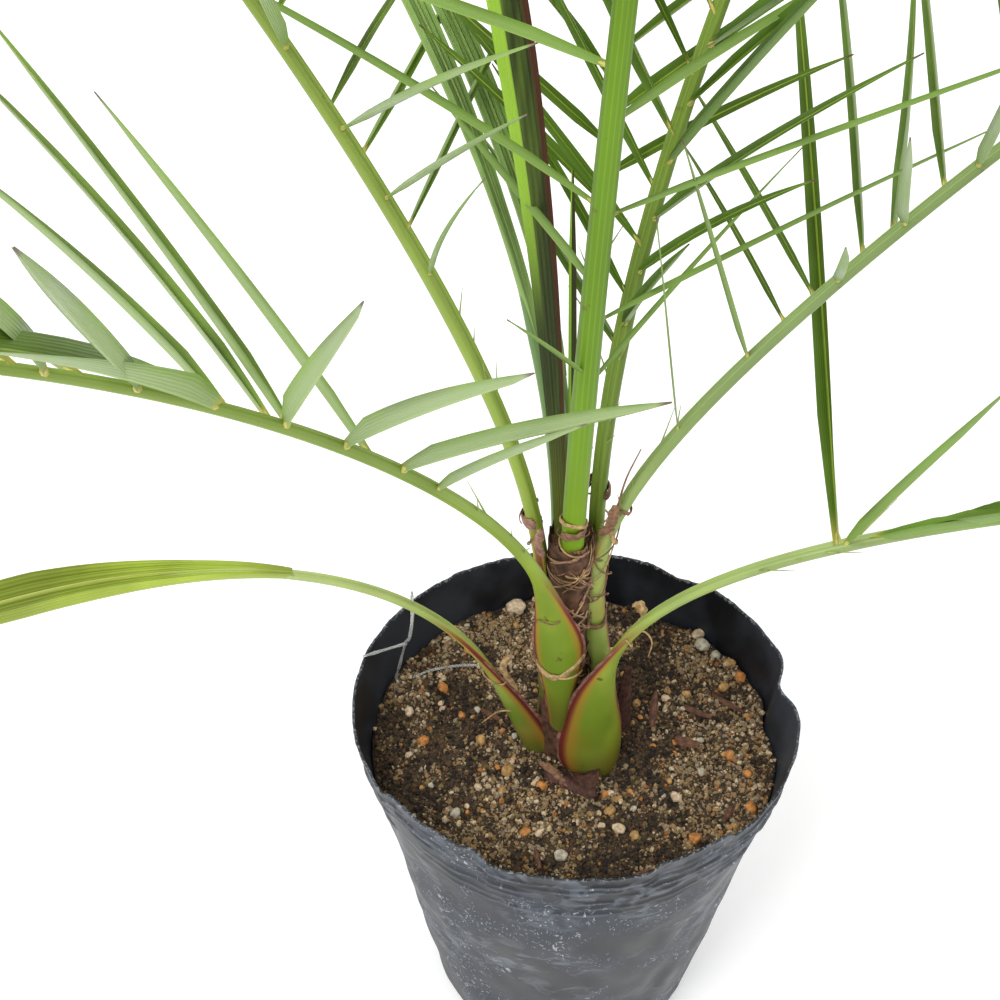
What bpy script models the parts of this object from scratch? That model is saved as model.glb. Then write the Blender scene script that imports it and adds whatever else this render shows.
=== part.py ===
"""A young canary island date palm in a soft nursery pot.

Metres, +Z up.  The origin is the middle of the pot's flat underside.  Azimuths are degrees from
+X towards +Y, and every length along a frond is measured from its foot at the stem.
"""
import math
import random
from dataclasses import dataclass

import bmesh
import bpy
from mathutils import Vector
from mathutils import noise

# ---- driving dimensions -------------------------------------------------------------------
GAP = 0.0003                # clearance that keeps touching pieces apart
POT_HEIGHT = 0.155
POT_RIM_RADIUS = 0.0763     # mean: the soft rim is slightly oval and has two folds
POT_FOOT_RADIUS = 0.0527
POT_FOOT_ROUND = 0.005      # rounded corner under the wall
POT_FILM = 0.0012           # wall thickness
POT_SEGMENTS = 48
RIM_OVAL = 0.0024
RIM_FOLDS = ((4.0, 0.0052, 6.0), (55.0, 0.0026, 6.0))   # azimuth, depth and width in degrees
RIM_SLACK = 0.055           # depth below the rim over which the wall goes slack
WALL_ROWS = (0.012, 0.026, 0.044, 0.066, 0.092, 0.122)     # depths below the rim
DRAIN_HOLES = 6
DRAIN_RADIUS = 0.0045
DRAIN_RING = 0.034

SOIL_DEPTH = 0.023          # of its surface below the rim
SOIL_LEVEL = POT_HEIGHT - SOIL_DEPTH
SOIL_FLAT_RADIUS = 0.026    # level patch that the plant stands on
SOIL_ROUGHNESS = 0.0016
SOIL_RINGS = 5
PEBBLE_SINK = 0.35          # share of a pebble that lies below the soil

STEM_FOOT_RADIUS = 0.0080
STEM_TOP_RADIUS = 0.0024
STEM_HEIGHT = 0.045

PATH_STEP = 0.004
STALK_SIDES = 8
RIB_SIDES = 6
LEAF_THICKNESS_SHARE = 0.014    # leaflet thickness as a share of its length
LEAF_CLEARANCE = 0.0016
PLEATS = 4
SPEAR_STEPS = 9     # path steps from one ring of a spear to the next


@dataclass
class Frond:
    """One leaf: where it starts, how it bends, and what grows along it."""
    name: str
    heading: float          # azimuth it grows towards
    foot: tuple             # azimuth, radius, and height of its foot above the soil
    start: float            # elevation at the foot
    settled: float          # elevation once it has bent outwards
    bend: float             # distance at which half of that bend is done
    length: float
    droop: float            # elevation lost by the tip under its own weight
    sheath: tuple           # width and thickness at the foot
    sheath_length: float
    petiole: tuple          # width and thickness above the sheath
    first: float            # distance of the first leaflet
    kind: str = "pinnate"   # or "strap"
    pitch: float = 0.0      # distance from one leaflet to the next on the same side
    leaf: float = 0.0       # longest leaflet, or half width of a strap
    leaf_width: float = 0.0
    spread: tuple = (62, 30)    # angle from the rib, of the first and the last leaflet
    lift: tuple = (45, 45)      # angle above the rib's own plane, left and right


FRONDS = (
    Frond("right_low", heading=-8, foot=(-54, 0.0138, 0.0005), start=94, settled=21,
          bend=0.074, length=0.42, droop=31, sheath=(0.021, 0.0050), sheath_length=0.075,
          petiole=(0.0042, 0.0036), first=0.150, pitch=0.030, leaf=0.190, leaf_width=0.015,
          spread=(80, 26), lift=(42, 36)),
    Frond("left_strap", heading=184, foot=(189, 0.0138, 0.0010), start=70, settled=-13,
          bend=0.103, length=0.36, droop=32, sheath=(0.0135, 0.0045), sheath_length=0.060,
          petiole=(0.0038, 0.0032), first=0.128, kind="strap", leaf=0.0096),
    Frond("left_front", heading=218, foot=(240, 0.0122, 0.0265), start=88, settled=49,
          bend=0.076, length=0.49, droop=53, sheath=(0.0135, 0.0042), sheath_length=0.060,
          petiole=(0.0050, 0.0042), first=0.122, pitch=0.030, leaf=0.175, leaf_width=0.0115,
          spread=(54, 30), lift=(36, 28)),
    Frond("front_upright", heading=276, foot=(244, 0.0084, 0.0200), start=96, settled=82,
          bend=0.060, length=0.58, droop=26, sheath=(0.0085, 0.0046), sheath_length=0.080,
          petiole=(0.0073, 0.0054), first=0.140, pitch=0.031, leaf=0.180, leaf_width=0.0105,
          spread=(72, 32), lift=(24, 20)),
    Frond("left_back", heading=164, foot=(190, 0.0100, 0.0325), start=88, settled=62,
          bend=0.096, length=0.57, droop=39, sheath=(0.0085, 0.0042), sheath_length=0.070,
          petiole=(0.0060, 0.0044), first=0.150, pitch=0.031, leaf=0.170, leaf_width=0.0105,
          spread=(74, 34), lift=(45, 40)),
    Frond("right", heading=0, foot=(358, 0.0098, 0.0280), start=100, settled=51,
          bend=0.074, length=0.57, droop=31, sheath=(0.0095, 0.0046), sheath_length=0.080,
          petiole=(0.0050, 0.0042), first=0.118, pitch=0.030, leaf=0.170, leaf_width=0.0105,
          spread=(74, 34), lift=(26, 40)),
    Frond("back_right", heading=42, foot=(58, 0.0151, 0.0005), start=94, settled=65.5,
          bend=0.197, length=0.60, droop=42, sheath=(0.0090, 0.0040), sheath_length=0.085,
          petiole=(0.0056, 0.0044), first=0.160, pitch=0.031, leaf=0.170, leaf_width=0.0105,
          spread=(48, 30), lift=(26, 26)),
    Frond("back_left_strap", heading=145, foot=(136, 0.0140, 0.0005), start=93, settled=65.5,
          bend=0.182, length=0.44, droop=39, sheath=(0.0090, 0.0038), sheath_length=0.070,
          petiole=(0.0048, 0.0036), first=0.170, kind="strap", leaf=0.0042),
    Frond("back", heading=79, foot=(108, 0.0076, 0.0350), start=88, settled=66,
          bend=0.140, length=0.58, droop=46, sheath=(0.0085, 0.0042), sheath_length=0.070,
          petiole=(0.0058, 0.0044), first=0.165, pitch=0.031, leaf=0.165, leaf_width=0.0105,
          spread=(50, 30), lift=(30, 30)),
    Frond("back_strap", heading=138, foot=(102, 0.0160, 0.0005), start=91, settled=58.5,
          bend=0.300, length=0.36, droop=49, sheath=(0.0080, 0.0036), sheath_length=0.060,
          petiole=(0.0044, 0.0034), first=0.150, kind="strap", leaf=0.0044),
)

# spears, unopened leaves: heading, foot (azimuth, radius, height above the soil),
# elevation at the foot, elevation lost by the tip, length, width
SPEARS = (
    ("spear_tall", 176, (154, 0.0046, 0.0460), 87, 32, 0.50, 0.0094),
    ("spear_short", 160, (112, 0.0048, 0.0480), 88, 0, 0.18, 0.0032),
)
SPEAR_SHAPE = ((0, 0.40), (0.17, 0.42), (0.30, 0.74), (0.45, 1.0), (0.75, 0.72), (1, 0.16))

# pebbles on the soil: x, y and length
PEBBLES = (
    (-0.021, 0.056, 0.0090), (0.027, 0.056, 0.0055), (0.047, 0.049, 0.0060),
    (0.050, 0.039, 0.0062), (0.055, 0.032, 0.0050), (-0.034, 0.035, 0.0052),
    (-0.043, 0.022, 0.0048), (0.060, -0.016, 0.0050), (0.038, -0.026, 0.0046),
    (-0.024, -0.020, 0.0046), (-0.050, 0.006, 0.0048), (0.016, -0.045, 0.0050),
)

GREEN_STALK = (0.36, 0.47, 0.10, 1.0)
GREEN_LEAF = (0.13, 0.27, 0.07, 1.0)
GREEN_SPEAR = (0.09, 0.17, 0.05, 1.0)
FILM_BLACK = (0.03, 0.035, 0.05, 1.0)
SAND = (0.24, 0.17, 0.11, 1.0)
SHEATH_BROWN = (0.16, 0.06, 0.045, 1.0)


# ---- scene, materials and mesh helpers ---------------------------------------------------
def clear_scene():
    for thing in list(bpy.data.objects):
        bpy.data.objects.remove(thing, do_unlink=True)


def new_collection(name):
    collection = bpy.data.collections.new(name)
    bpy.context.scene.collection.children.link(collection)
    return collection


def principled(name, colour, roughness):
    material = bpy.data.materials.new(name)
    material.use_nodes = True
    shader = material.node_tree.nodes["Principled BSDF"]
    shader.inputs["Base Color"].default_value = colour
    shader.inputs["Roughness"].default_value = roughness
    shader.inputs["Metallic"].default_value = 0.0
    return material


def mesh_object(name, vertices, faces, collection, material=None):
    mesh = bpy.data.meshes.new(name)
    mesh.from_pydata([tuple(v) for v in vertices], [], faces)
    mesh.validate()
    thing = bpy.data.objects.new(name, mesh)
    collection.objects.link(thing)
    if material:
        mesh.materials.append(material)
    return thing


def smooth(thing, angle=35):
    thing.data.shade_smooth()
    thing.data.set_sharp_from_angle(angle=math.radians(angle))


def loft(name, rings, collection, material=None, tip=None):
    """A closed skin over rings of equally many points; a tip point closes it to a point."""
    sides = len(rings[0])
    vertices = [point for ring in rings for point in ring]
    faces = [tuple(reversed(range(sides)))]
    for ring in range(len(rings) - 1):
        for side in range(sides):
            after = (side + 1) % sides
            low, high = ring * sides, (ring + 1) * sides
            faces.append((low + side, low + after, high + after, high + side))
    last = (len(rings) - 1) * sides
    if tip is None:
        faces.append(tuple(range(last, last + sides)))
    else:
        vertices.append(tip)
        for side in range(sides):
            faces.append((last + side, last + (side + 1) % sides, len(vertices) - 1))
    thing = mesh_object(name, vertices, faces, collection, material)
    make_outward(thing.data)
    return thing


def make_outward(mesh):
    work = bmesh.new()
    work.from_mesh(mesh)
    bmesh.ops.recalc_face_normals(work, faces=work.faces)
    if work.calc_volume(signed=True) < 0:
        bmesh.ops.reverse_faces(work, faces=work.faces)
    work.to_mesh(mesh)
    work.free()


def evaluated_copy(thing, name):
    """The object's mesh with its modifiers applied."""
    graph = bpy.context.evaluated_depsgraph_get()
    mesh = bpy.data.meshes.new_from_object(thing.evaluated_get(graph))
    mesh.name = name
    return mesh


def apply_modifiers(thing):
    mesh = evaluated_copy(thing, thing.name)
    thing.modifiers.clear()
    thing.data = mesh


def drop_scraps(mesh):
    """Keeps the largest connected piece of a mesh."""
    work = bmesh.new()
    work.from_mesh(mesh)
    left = set(work.verts)
    pieces = []
    while left:
        stack = [left.pop()]
        piece = set(stack)
        while stack:
            for edge in stack.pop().link_edges:
                for vertex in edge.verts:
                    if vertex in left:
                        left.discard(vertex)
                        piece.add(vertex)
                        stack.append(vertex)
        pieces.append(piece)
    pieces.sort(key=len)
    loose = [vertex for piece in pieces[:-1] for vertex in piece]
    bmesh.ops.delete(work, geom=loose, context="VERTS")
    work.to_mesh(mesh)
    work.free()


def is_closed(mesh):
    work = bmesh.new()
    work.from_mesh(mesh)
    closed = all(edge.is_manifold for edge in work.edges) and work.calc_volume(signed=True) > 0
    work.free()
    return closed


def fuse(core, pieces_collection):
    """Joins a core and the pieces in a collection with one Boolean union."""
    for solver in ("EXACT", "MANIFOLD"):
        union = core.modifiers.new("fuse", "BOOLEAN")
        union.operation = "UNION"
        union.operand_type = "COLLECTION"
        union.collection = pieces_collection
        union.solver = solver
        mesh = evaluated_copy(core, core.name)
        core.modifiers.clear()
        drop_scraps(mesh)
        if is_closed(mesh):
            break
    core.data = mesh
    for piece in list(pieces_collection.objects):
        bpy.data.objects.remove(piece, do_unlink=True)
    bpy.data.collections.remove(pieces_collection)


# ---- pot and soil -------------------------------------------------------------------------
def ease(low, high, value):
    share = min(1.0, max(0.0, (value - low) / (high - low)))
    return share * share * (3 - 2 * share)


def wall_radius(azimuth, height):
    """Outer radius of the film: a straight cone, slack towards its rim."""
    cone = POT_FOOT_RADIUS + (POT_RIM_RADIUS - POT_FOOT_RADIUS) * height / POT_HEIGHT
    slack = ease(POT_HEIGHT - RIM_SLACK, POT_HEIGHT, height)
    reach = cone + slack * RIM_OVAL * math.cos(2 * azimuth)
    for fold, depth, width in RIM_FOLDS:
        turn = math.remainder(math.degrees(azimuth) - fold, 360)
        reach -= slack * depth * math.exp(-(turn / width) ** 2)
    return reach


def make_pot(collection, cutters, material):
    """A film wall on a flat floor with a ring of drain holes."""
    profile = [Vector((POT_RIM_RADIUS, 0, POT_HEIGHT))]
    for height in [POT_HEIGHT - depth for depth in WALL_ROWS] + [POT_FOOT_ROUND]:
        share = height / POT_HEIGHT
        profile.append(Vector((POT_FOOT_RADIUS + (POT_RIM_RADIUS - POT_FOOT_RADIUS) * share,
                               0, height)))
    for turn in (30, 60, 90):
        angle = math.radians(turn)
        profile.append(Vector((POT_FOOT_RADIUS - POT_FOOT_ROUND * (1 - math.cos(angle)), 0,
                               POT_FOOT_ROUND * (1 - math.sin(angle)))))
    profile.append(Vector((0.024, 0, 0)))
    profile.append(Vector((0, 0, 0)))
    edges = [(i, i + 1) for i in range(len(profile) - 1)]
    mesh = bpy.data.meshes.new("pot")
    mesh.from_pydata(profile, edges, [])
    pot = bpy.data.objects.new("pot", mesh)
    collection.objects.link(pot)
    screw = pot.modifiers.new("turn", "SCREW")
    screw.steps = POT_SEGMENTS
    screw.render_steps = POT_SEGMENTS
    screw.use_merge_vertices = True
    screw.merge_threshold = 0.00005
    screw.use_smooth_shade = False
    apply_modifiers(pot)
    for vertex in pot.data.vertices:
        if vertex.co.z > POT_FOOT_ROUND + 0.001:
            azimuth = math.atan2(vertex.co.y, vertex.co.x)
            reach = wall_radius(azimuth, vertex.co.z)
            vertex.co.x = reach * math.cos(azimuth)
            vertex.co.y = reach * math.sin(azimuth)
    work = bmesh.new()
    work.from_mesh(pot.data)
    bmesh.ops.recalc_face_normals(work, faces=work.faces)
    floor_face = min(work.faces, key=lambda face: face.calc_center_median().z)
    if floor_face.normal.z > 0:
        bmesh.ops.reverse_faces(work, faces=work.faces)
    work.to_mesh(pot.data)
    work.free()
    film = pot.modifiers.new("film", "SOLIDIFY")
    film.thickness = POT_FILM
    film.offset = -1
    film.use_even_offset = True
    for hole in range(DRAIN_HOLES):
        angle = 2 * math.pi * (hole + 0.3) / DRAIN_HOLES
        cutter = drain_cutter(hole, angle, cutters)
        cut = pot.modifiers.new("drain", "BOOLEAN")
        cut.operation = "DIFFERENCE"
        cut.object = cutter
    pot.data.materials.append(material)
    smooth(pot)
    return pot


def drain_cutter(number, angle, cutters):
    work = bmesh.new()
    bmesh.ops.create_cone(work, cap_ends=True, segments=12, radius1=DRAIN_RADIUS,
                          radius2=DRAIN_RADIUS, depth=0.012)
    mesh = bpy.data.meshes.new(f"drain_cutter_{number}")
    work.to_mesh(mesh)
    work.free()
    cutter = bpy.data.objects.new(mesh.name, mesh)
    cutter.location = (DRAIN_RING * math.cos(angle), DRAIN_RING * math.sin(angle), 0)
    cutter.hide_render = True
    cutter.display_type = "WIRE"
    cutters.objects.link(cutter)
    return cutter


def soil_height(x, y):
    """The soil's surface: level round the plant, gently rough towards the wall."""
    rough = ease(SOIL_FLAT_RADIUS, SOIL_FLAT_RADIUS + 0.012, math.hypot(x, y))
    return SOIL_LEVEL + rough * SOIL_ROUGHNESS * noise.noise(Vector((x * 70, y * 70, 3.1)))


def narrowest(azimuth, height):
    """The least wall radius within one segment either side, which clears a fold."""
    step = 2 * math.pi / POT_SEGMENTS
    return min(wall_radius(azimuth + turn, height) for turn in (-step, 0, step))


def make_soil(collection, material):
    """Sand and gravel that fills the pot, with the largest pebbles fused on."""
    rings = []
    sides = POT_SEGMENTS
    clear = POT_FILM + GAP + 0.0002
    top_row = POT_HEIGHT - WALL_ROWS[1]
    heights = [POT_HEIGHT - depth for depth in reversed(WALL_ROWS[1:])]
    for height in [POT_FILM + GAP, POT_FOOT_ROUND + 0.003] + heights:
        ring = []
        for side in range(sides):
            azimuth = 2 * math.pi * side / sides
            inset = clear + (POT_FOOT_ROUND if height < POT_FOOT_ROUND else 0.0002)
            reach = narrowest(azimuth, height) - inset
            ring.append(Vector((reach * math.cos(azimuth), reach * math.sin(azimuth), height)))
        rings.append(ring)
    for number in range(SOIL_RINGS):
        share = 1 - number / SOIL_RINGS
        ring = []
        for side in range(sides):
            azimuth = 2 * math.pi * side / sides
            reach = (narrowest(azimuth, top_row) - clear - 0.0002) * share
            x, y = reach * math.cos(azimuth), reach * math.sin(azimuth)
            ring.append(Vector((x, y, soil_height(x, y))))
        rings.append(ring)
    soil = loft("soil", rings, collection, material, tip=Vector((0, 0, SOIL_LEVEL)))
    pebbles = new_collection("pebbles")
    for number, (x, y, size) in enumerate(PEBBLES):
        work = bmesh.new()
        bmesh.ops.create_icosphere(work, subdivisions=1, radius=size / 2)
        for vertex in work.verts:
            vertex.co.y *= 0.8
            vertex.co.z *= 0.7
        mesh = bpy.data.meshes.new(f"pebble_{number}")
        work.to_mesh(mesh)
        work.free()
        pebble = bpy.data.objects.new(mesh.name, mesh)
        pebble.rotation_euler = (0.2, 0.3, number * 1.9)
        pebble.location = (x, y, soil_height(x, y) + size * (0.35 - PEBBLE_SINK * 0.7))
        pebbles.objects.link(pebble)
    bpy.context.view_layer.update()
    fuse(soil, pebbles)
    smooth(soil)
    return soil


# ---- the plant ----------------------------------------------------------------------------
def lift_angle(frond, distance):
    """Elevation of the rib: the sheath stands, the bend settles it, its weight droops it."""
    bent = frond.settled + (frond.start - frond.settled) / (1 + (distance / frond.bend) ** 3)
    return bent - frond.droop * (distance / frond.length) ** 2


def graph(points, share):
    """A value read from a list of (share, value) points."""
    for (low, start), (high, end) in zip(points, points[1:]):
        if share <= high:
            return start + (end - start) * (share - low) / (high - low)
    return points[-1][1]


def directions(elevation, heading):
    """Along the rib, to its left, and out of its upper face."""
    lift, turn = math.radians(elevation), math.radians(heading)
    along = Vector((math.cos(lift) * math.cos(turn), math.cos(lift) * math.sin(turn),
                    math.sin(lift)))
    left = Vector((-math.sin(turn), math.cos(turn), 0))
    return along, left, along.cross(left)


def route(frond):
    """Points and directions every PATH_STEP along a frond's rib."""
    azimuth, radius, height = frond.foot
    turn = math.radians(azimuth)
    point = Vector((radius * math.cos(turn), radius * math.sin(turn), SOIL_LEVEL + height))
    steps = round(frond.length / PATH_STEP)
    points = []
    for number in range(steps + 1):
        distance = number * PATH_STEP
        sway = ease(0, frond.sheath_length, distance)
        heading = azimuth + math.remainder(frond.heading - azimuth, 360) * sway
        frame = directions(lift_angle(frond, distance), heading)
        grow = directions(lift_angle(frond, distance), frond.heading)[0]
        points.append((point.copy(), frame))
        point += grow * PATH_STEP
    return points


def place(points, distance):
    """The rib's point and directions at a distance from the foot."""
    number = min(int(distance / PATH_STEP), len(points) - 2)
    share = min(1.0, distance / PATH_STEP - number)
    point = points[number][0].lerp(points[number + 1][0], share)
    return point, points[number][1]


def section(point, left, upper, width, thickness, cup, sides):
    """An oval ring whose edges are cupped towards the upper face."""
    ring = []
    for side in range(sides):
        angle = 2 * math.pi * side / sides
        across = math.cos(angle)
        off = thickness / 2 * math.sin(angle) + cup * (across * across - 0.5)
        ring.append(point + left * (width / 2 * across) + upper * off)
    return ring


def stalk_size(frond, distance):
    """Width, thickness and cup of the sheath and petiole."""
    share = ease(0, frond.sheath_length, distance)
    width = frond.sheath[0] + (frond.petiole[0] - frond.sheath[0]) * share
    thickness = frond.sheath[1] + (frond.petiole[1] - frond.sheath[1]) * share
    return width, thickness, 0.20 * width * (1 - share)


def make_stalk(frond, points, collection, material):
    """The sheath and petiole, from the foot to just under the first leaflet."""
    end = frond.first - GAP
    rings = []
    stations = 12
    for number in range(stations):
        distance = end * number / (stations - 1)
        point, (along, left, upper) = place(points, distance)
        if number == 0:
            upper = Vector((upper.x, upper.y, 0)).normalized()
        width, thickness, cup = stalk_size(frond, distance)
        rings.append(section(point, left, upper, width, thickness, cup, STALK_SIDES))
    stalk = loft(f"stalk_{frond.name}", rings, collection, material)
    smooth(stalk)
    return stalk


def rib_size(frond, distance):
    """Width and thickness of the rib between the leaflets."""
    share = (distance - frond.first) / (frond.length - frond.first)
    width = frond.petiole[0] * (1 - share) + 0.0016 * share
    thickness = frond.petiole[1] * (1 - share) + 0.0014 * share
    return width, thickness


def leaflet_plan(frond):
    """Side, distance, length and angles of each leaflet, by the frond's own seeded rule."""
    plan = []
    rows = int((frond.length - frond.first - 0.02) / frond.pitch)
    for row in range(rows + 1):
        for side in (1, -1):
            draw = random.Random(f"{frond.name} {row} {side}")
            share = (row + (0.45 if side < 0 else 0)) / (rows + 0.5)
            distance = frond.first + 0.006 + share * (frond.length - frond.first - 0.012)
            size = frond.leaf * (0.45 + 0.55 * ease(0, 0.25, share)) * (1 - 0.45 * share ** 2)
            spread = frond.spread[0] + (frond.spread[1] - frond.spread[0]) * share
            lift = frond.lift[0 if side > 0 else 1] * (1 - 0.4 * share)
            plan.append((side, distance, size * draw.uniform(0.92, 1.05),
                         spread + draw.uniform(-6, 6), lift + draw.uniform(-9, 9),
                         draw.uniform(10, 26)))
    return plan


def leaflet_line(points, side, distance, size, spread, lift, sag, steps=5):
    """A leaflet's points from the rib to its tip, with the directions at its root."""
    point, (along, left, upper) = place(points, distance)
    out, rise = math.radians(spread), math.radians(lift)
    aim = along * math.cos(out)
    aim += (left * (side * math.cos(rise)) + upper * math.sin(rise)) * math.sin(out)
    line = [point.copy()]
    level = math.hypot(aim.x, aim.y)
    for number in range(steps):
        share = (number + 0.5) / steps
        elevation = math.atan2(aim.z, level) - math.radians(sag) * share * min(1.0, 1.6 * level)
        step = Vector((aim.x / level * math.cos(elevation), aim.y / level * math.cos(elevation),
                       math.sin(elevation)))
        line.append(line[-1] + step * (size / steps))
    return line, aim, along


class Room:
    """Keeps the nodes apart: balls along everything that is already placed."""

    def __init__(self):
        self.balls = []

    def add(self, owner, line, radius):
        for start, end in zip(line[:-1], line[1:]):
            count = max(1, math.ceil((end - start).length / 0.006))
            for number in range(count):
                self.balls.append((owner, start.lerp(end, number / count), radius))

    def is_free(self, owner, line, radius):
        for start, end in zip(line[:-1], line[1:]):
            span = end - start
            for other, centre, size in self.balls:
                if other == owner:
                    continue
                share = max(0.0, min(1.0, (centre - start).dot(span) / span.length_squared))
                near = start + span * share
                if (near - centre).length < radius + size + LEAF_CLEARANCE:
                    return False
        return True


def leaflet_rings(line, aim, along, size, width):
    """Three-cornered sections with the keel below, and the pointed tip."""
    across = (along - aim * along.dot(aim)).normalized()
    keel = across.cross(aim)
    if keel.z < 0:
        keel.negate()
    depth = max(0.0014, size * LEAF_THICKNESS_SHARE)
    rings = []
    for number, share in ((0, 0.35), (1, 0.9), (3, 0.85)):
        point = line[number]
        half = width / 2 * share
        rings.append([point + across * half + keel * depth / 2,
                      point - across * half + keel * depth / 2,
                      point - keel * depth / 2])
    return rings, line[-1]


def make_pinnate_blade(frond, points, room, collection, material):
    """The rib beyond the petiole with its leaflets fused on."""
    rings = []
    stations = 9
    for number in range(stations):
        distance = frond.first + (frond.length - frond.first) * number / (stations - 1)
        point, (along, left, upper) = place(points, distance)
        width, thickness = rib_size(frond, distance)
        rings.append(section(point, left, upper, width, thickness, 0, RIB_SIDES))
    blade = loft(f"blade_{frond.name}", rings, collection, material)
    leaflets = new_collection(f"leaflets_{frond.name}")
    for number, (side, distance, size, spread, lift, sag) in enumerate(leaflet_plan(frond)):
        for turn in (0, 10, -10, 20, -20, 32, -32):
            line, aim, along = leaflet_line(points, side, distance, size, spread, lift + turn,
                                            sag)
            if room.is_free(frond.name, line, frond.leaf_width / 2):
                sections, tip = leaflet_rings(line, aim, along, size, frond.leaf_width)
                loft(f"leaflet_{number}", sections, leaflets, None, tip)
                room.add(frond.name, line, frond.leaf_width / 2)
                break
    fuse(blade, leaflets)
    return blade


def make_strap_blade(frond, points, room, collection, material):
    """An undivided young leaf: a long pleated blade that narrows to its tip."""
    rings = []
    stations = 9
    line = []
    for number in range(stations):
        share = number / (stations - 1)
        distance = frond.first + (frond.length - frond.first) * share
        point, (along, left, upper) = place(points, distance)
        line.append(point)
        half = frond.petiole[0] / 2
        half += (frond.leaf - half) * ease(0, 0.45, share) * (1 - 0.86 * ease(0.55, 1, share))
        fold = 0.0016 * ease(0, 0.3, share) * (1 - ease(0.8, 1, share))
        thick = 0.0024
        upper_side, lower_side = [], []
        for pleat in range(2 * PLEATS + 1):
            across = 1 - pleat / PLEATS
            ridge = fold * (1 if pleat % 2 else -1) + 0.25 * half * across * across
            middle = point + left * (half * across) + upper * ridge
            upper_side.append(middle + upper * thick / 2)
            lower_side.append(middle - upper * thick / 2)
        rings.append(upper_side + list(reversed(lower_side)))
    room.add(frond.name, line, frond.leaf)
    return loft(f"blade_{frond.name}", rings, collection, material)


def make_spear(name, heading, foot, elevation, bow, length, width, room, collection,
               material):
    """A leaf that has not opened: a folded, tapering rod, its broad side to the front."""
    azimuth, radius, height = foot
    turn = math.radians(azimuth)
    point = Vector((radius * math.cos(turn), radius * math.sin(turn), SOIL_LEVEL + height))
    steps = round(length / PATH_STEP)
    line, rings = [], []
    for step in range(steps + 1):
        share = step / steps
        along = directions(elevation - bow * share * share, heading)[0]
        if step % SPEAR_STEPS == 0 or step == steps:
            broad = along.cross(Vector((0, 1, 0))).normalized()
            swell = width * graph(SPEAR_SHAPE, share)
            rings.append(section(point, broad, broad.cross(along), swell, swell * 0.62, 0, 8))
        line.append(point)
        point = point + along * (length / steps)
    room.add(name, line, width / 2)
    spear = loft(name, rings, collection, material)
    smooth(spear)
    return spear


def make_stem(collection, material):
    """The short stem that the leaf bases are set round."""
    rings = []
    for share in (0, 0.3, 0.65, 1):
        height = SOIL_LEVEL + GAP + (STEM_HEIGHT - GAP) * share
        radius = STEM_FOOT_RADIUS + (STEM_TOP_RADIUS - STEM_FOOT_RADIUS) * share
        rings.append([Vector((radius * math.cos(a), radius * math.sin(a), height))
                      for a in (2 * math.pi * side / 16 for side in range(16))])
    stem = loft("stem", rings, collection, material)
    smooth(stem)
    return stem


def make_dead_sheath(name, azimuth, radius, height, lean, length, width, collection, material):
    """A dry leaf base: a short cupped scale, upright or lying outwards."""
    turn = math.radians(azimuth)
    point = Vector((radius * math.cos(turn), radius * math.sin(turn), SOIL_LEVEL + height))
    rings = []
    stations = 5
    for number in range(stations):
        share = number / (stations - 1)
        along, left, upper = directions(lean[0] + (lean[1] - lean[0]) * share, azimuth)
        taper = 1 - 0.72 * share ** 1.6
        rings.append(section(point, left, upper, width * taper, 0.0016, 0.18 * width * taper, 8))
        point = point + along * (length / (stations - 1))
    scale = loft(name, rings, collection, material)
    smooth(scale)
    return scale


def main():
    clear_scene()
    parts = new_collection("potted_date_palm")
    cutters = new_collection("cutters")
    film = principled("film_black", FILM_BLACK, 0.45)
    sand = principled("sand", SAND, 0.95)
    stalk_green = principled("stalk_green", GREEN_STALK, 0.45)
    leaf_green = principled("leaf_green", GREEN_LEAF, 0.5)
    spear_green = principled("spear_green", GREEN_SPEAR, 0.5)
    sheath_brown = principled("sheath_brown", SHEATH_BROWN, 0.8)

    make_pot(parts, cutters, film)
    make_soil(parts, sand)
    make_stem(parts, sheath_brown)
    room = Room()
    routes = {}
    for frond in FRONDS:
        routes[frond.name] = route(frond)
        ribs = [point for point, frame in routes[frond.name]]
        room.add(frond.name, ribs, frond.petiole[0] / 2)
        make_stalk(frond, routes[frond.name], parts, stalk_green)
    for spear in SPEARS:
        make_spear(*spear, room, parts, spear_green)
    for frond in FRONDS:
        if frond.kind == "strap":
            make_strap_blade(frond, routes[frond.name], room, parts, leaf_green)
    for frond in FRONDS:
        if frond.kind == "pinnate":
            make_pinnate_blade(frond, routes[frond.name], room, parts, leaf_green)
    make_dead_sheath("dead_sheath_right", 12, 0.0185, 0.0010, (86, 70), 0.022, 0.011, parts,
                     sheath_brown)
    make_dead_sheath("dead_sheath_front", 279, 0.0185, 0.0035, (20, -4), 0.009, 0.009, parts,
                     sheath_brown)


main()
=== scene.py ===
"""Looks of a young canary island date palm in a soft nursery pot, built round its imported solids.

Metres, +Z up, origin in the middle of the pot's underside.  Azimuths are degrees from +X towards
+Y.  The fronds grow by the rule of the solids' source, written again here with more leaflets.
"""
import math
import random
from dataclasses import dataclass

import bmesh
import bpy
import numpy as np
from mathutils import Matrix, Vector
from mathutils import noise


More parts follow.
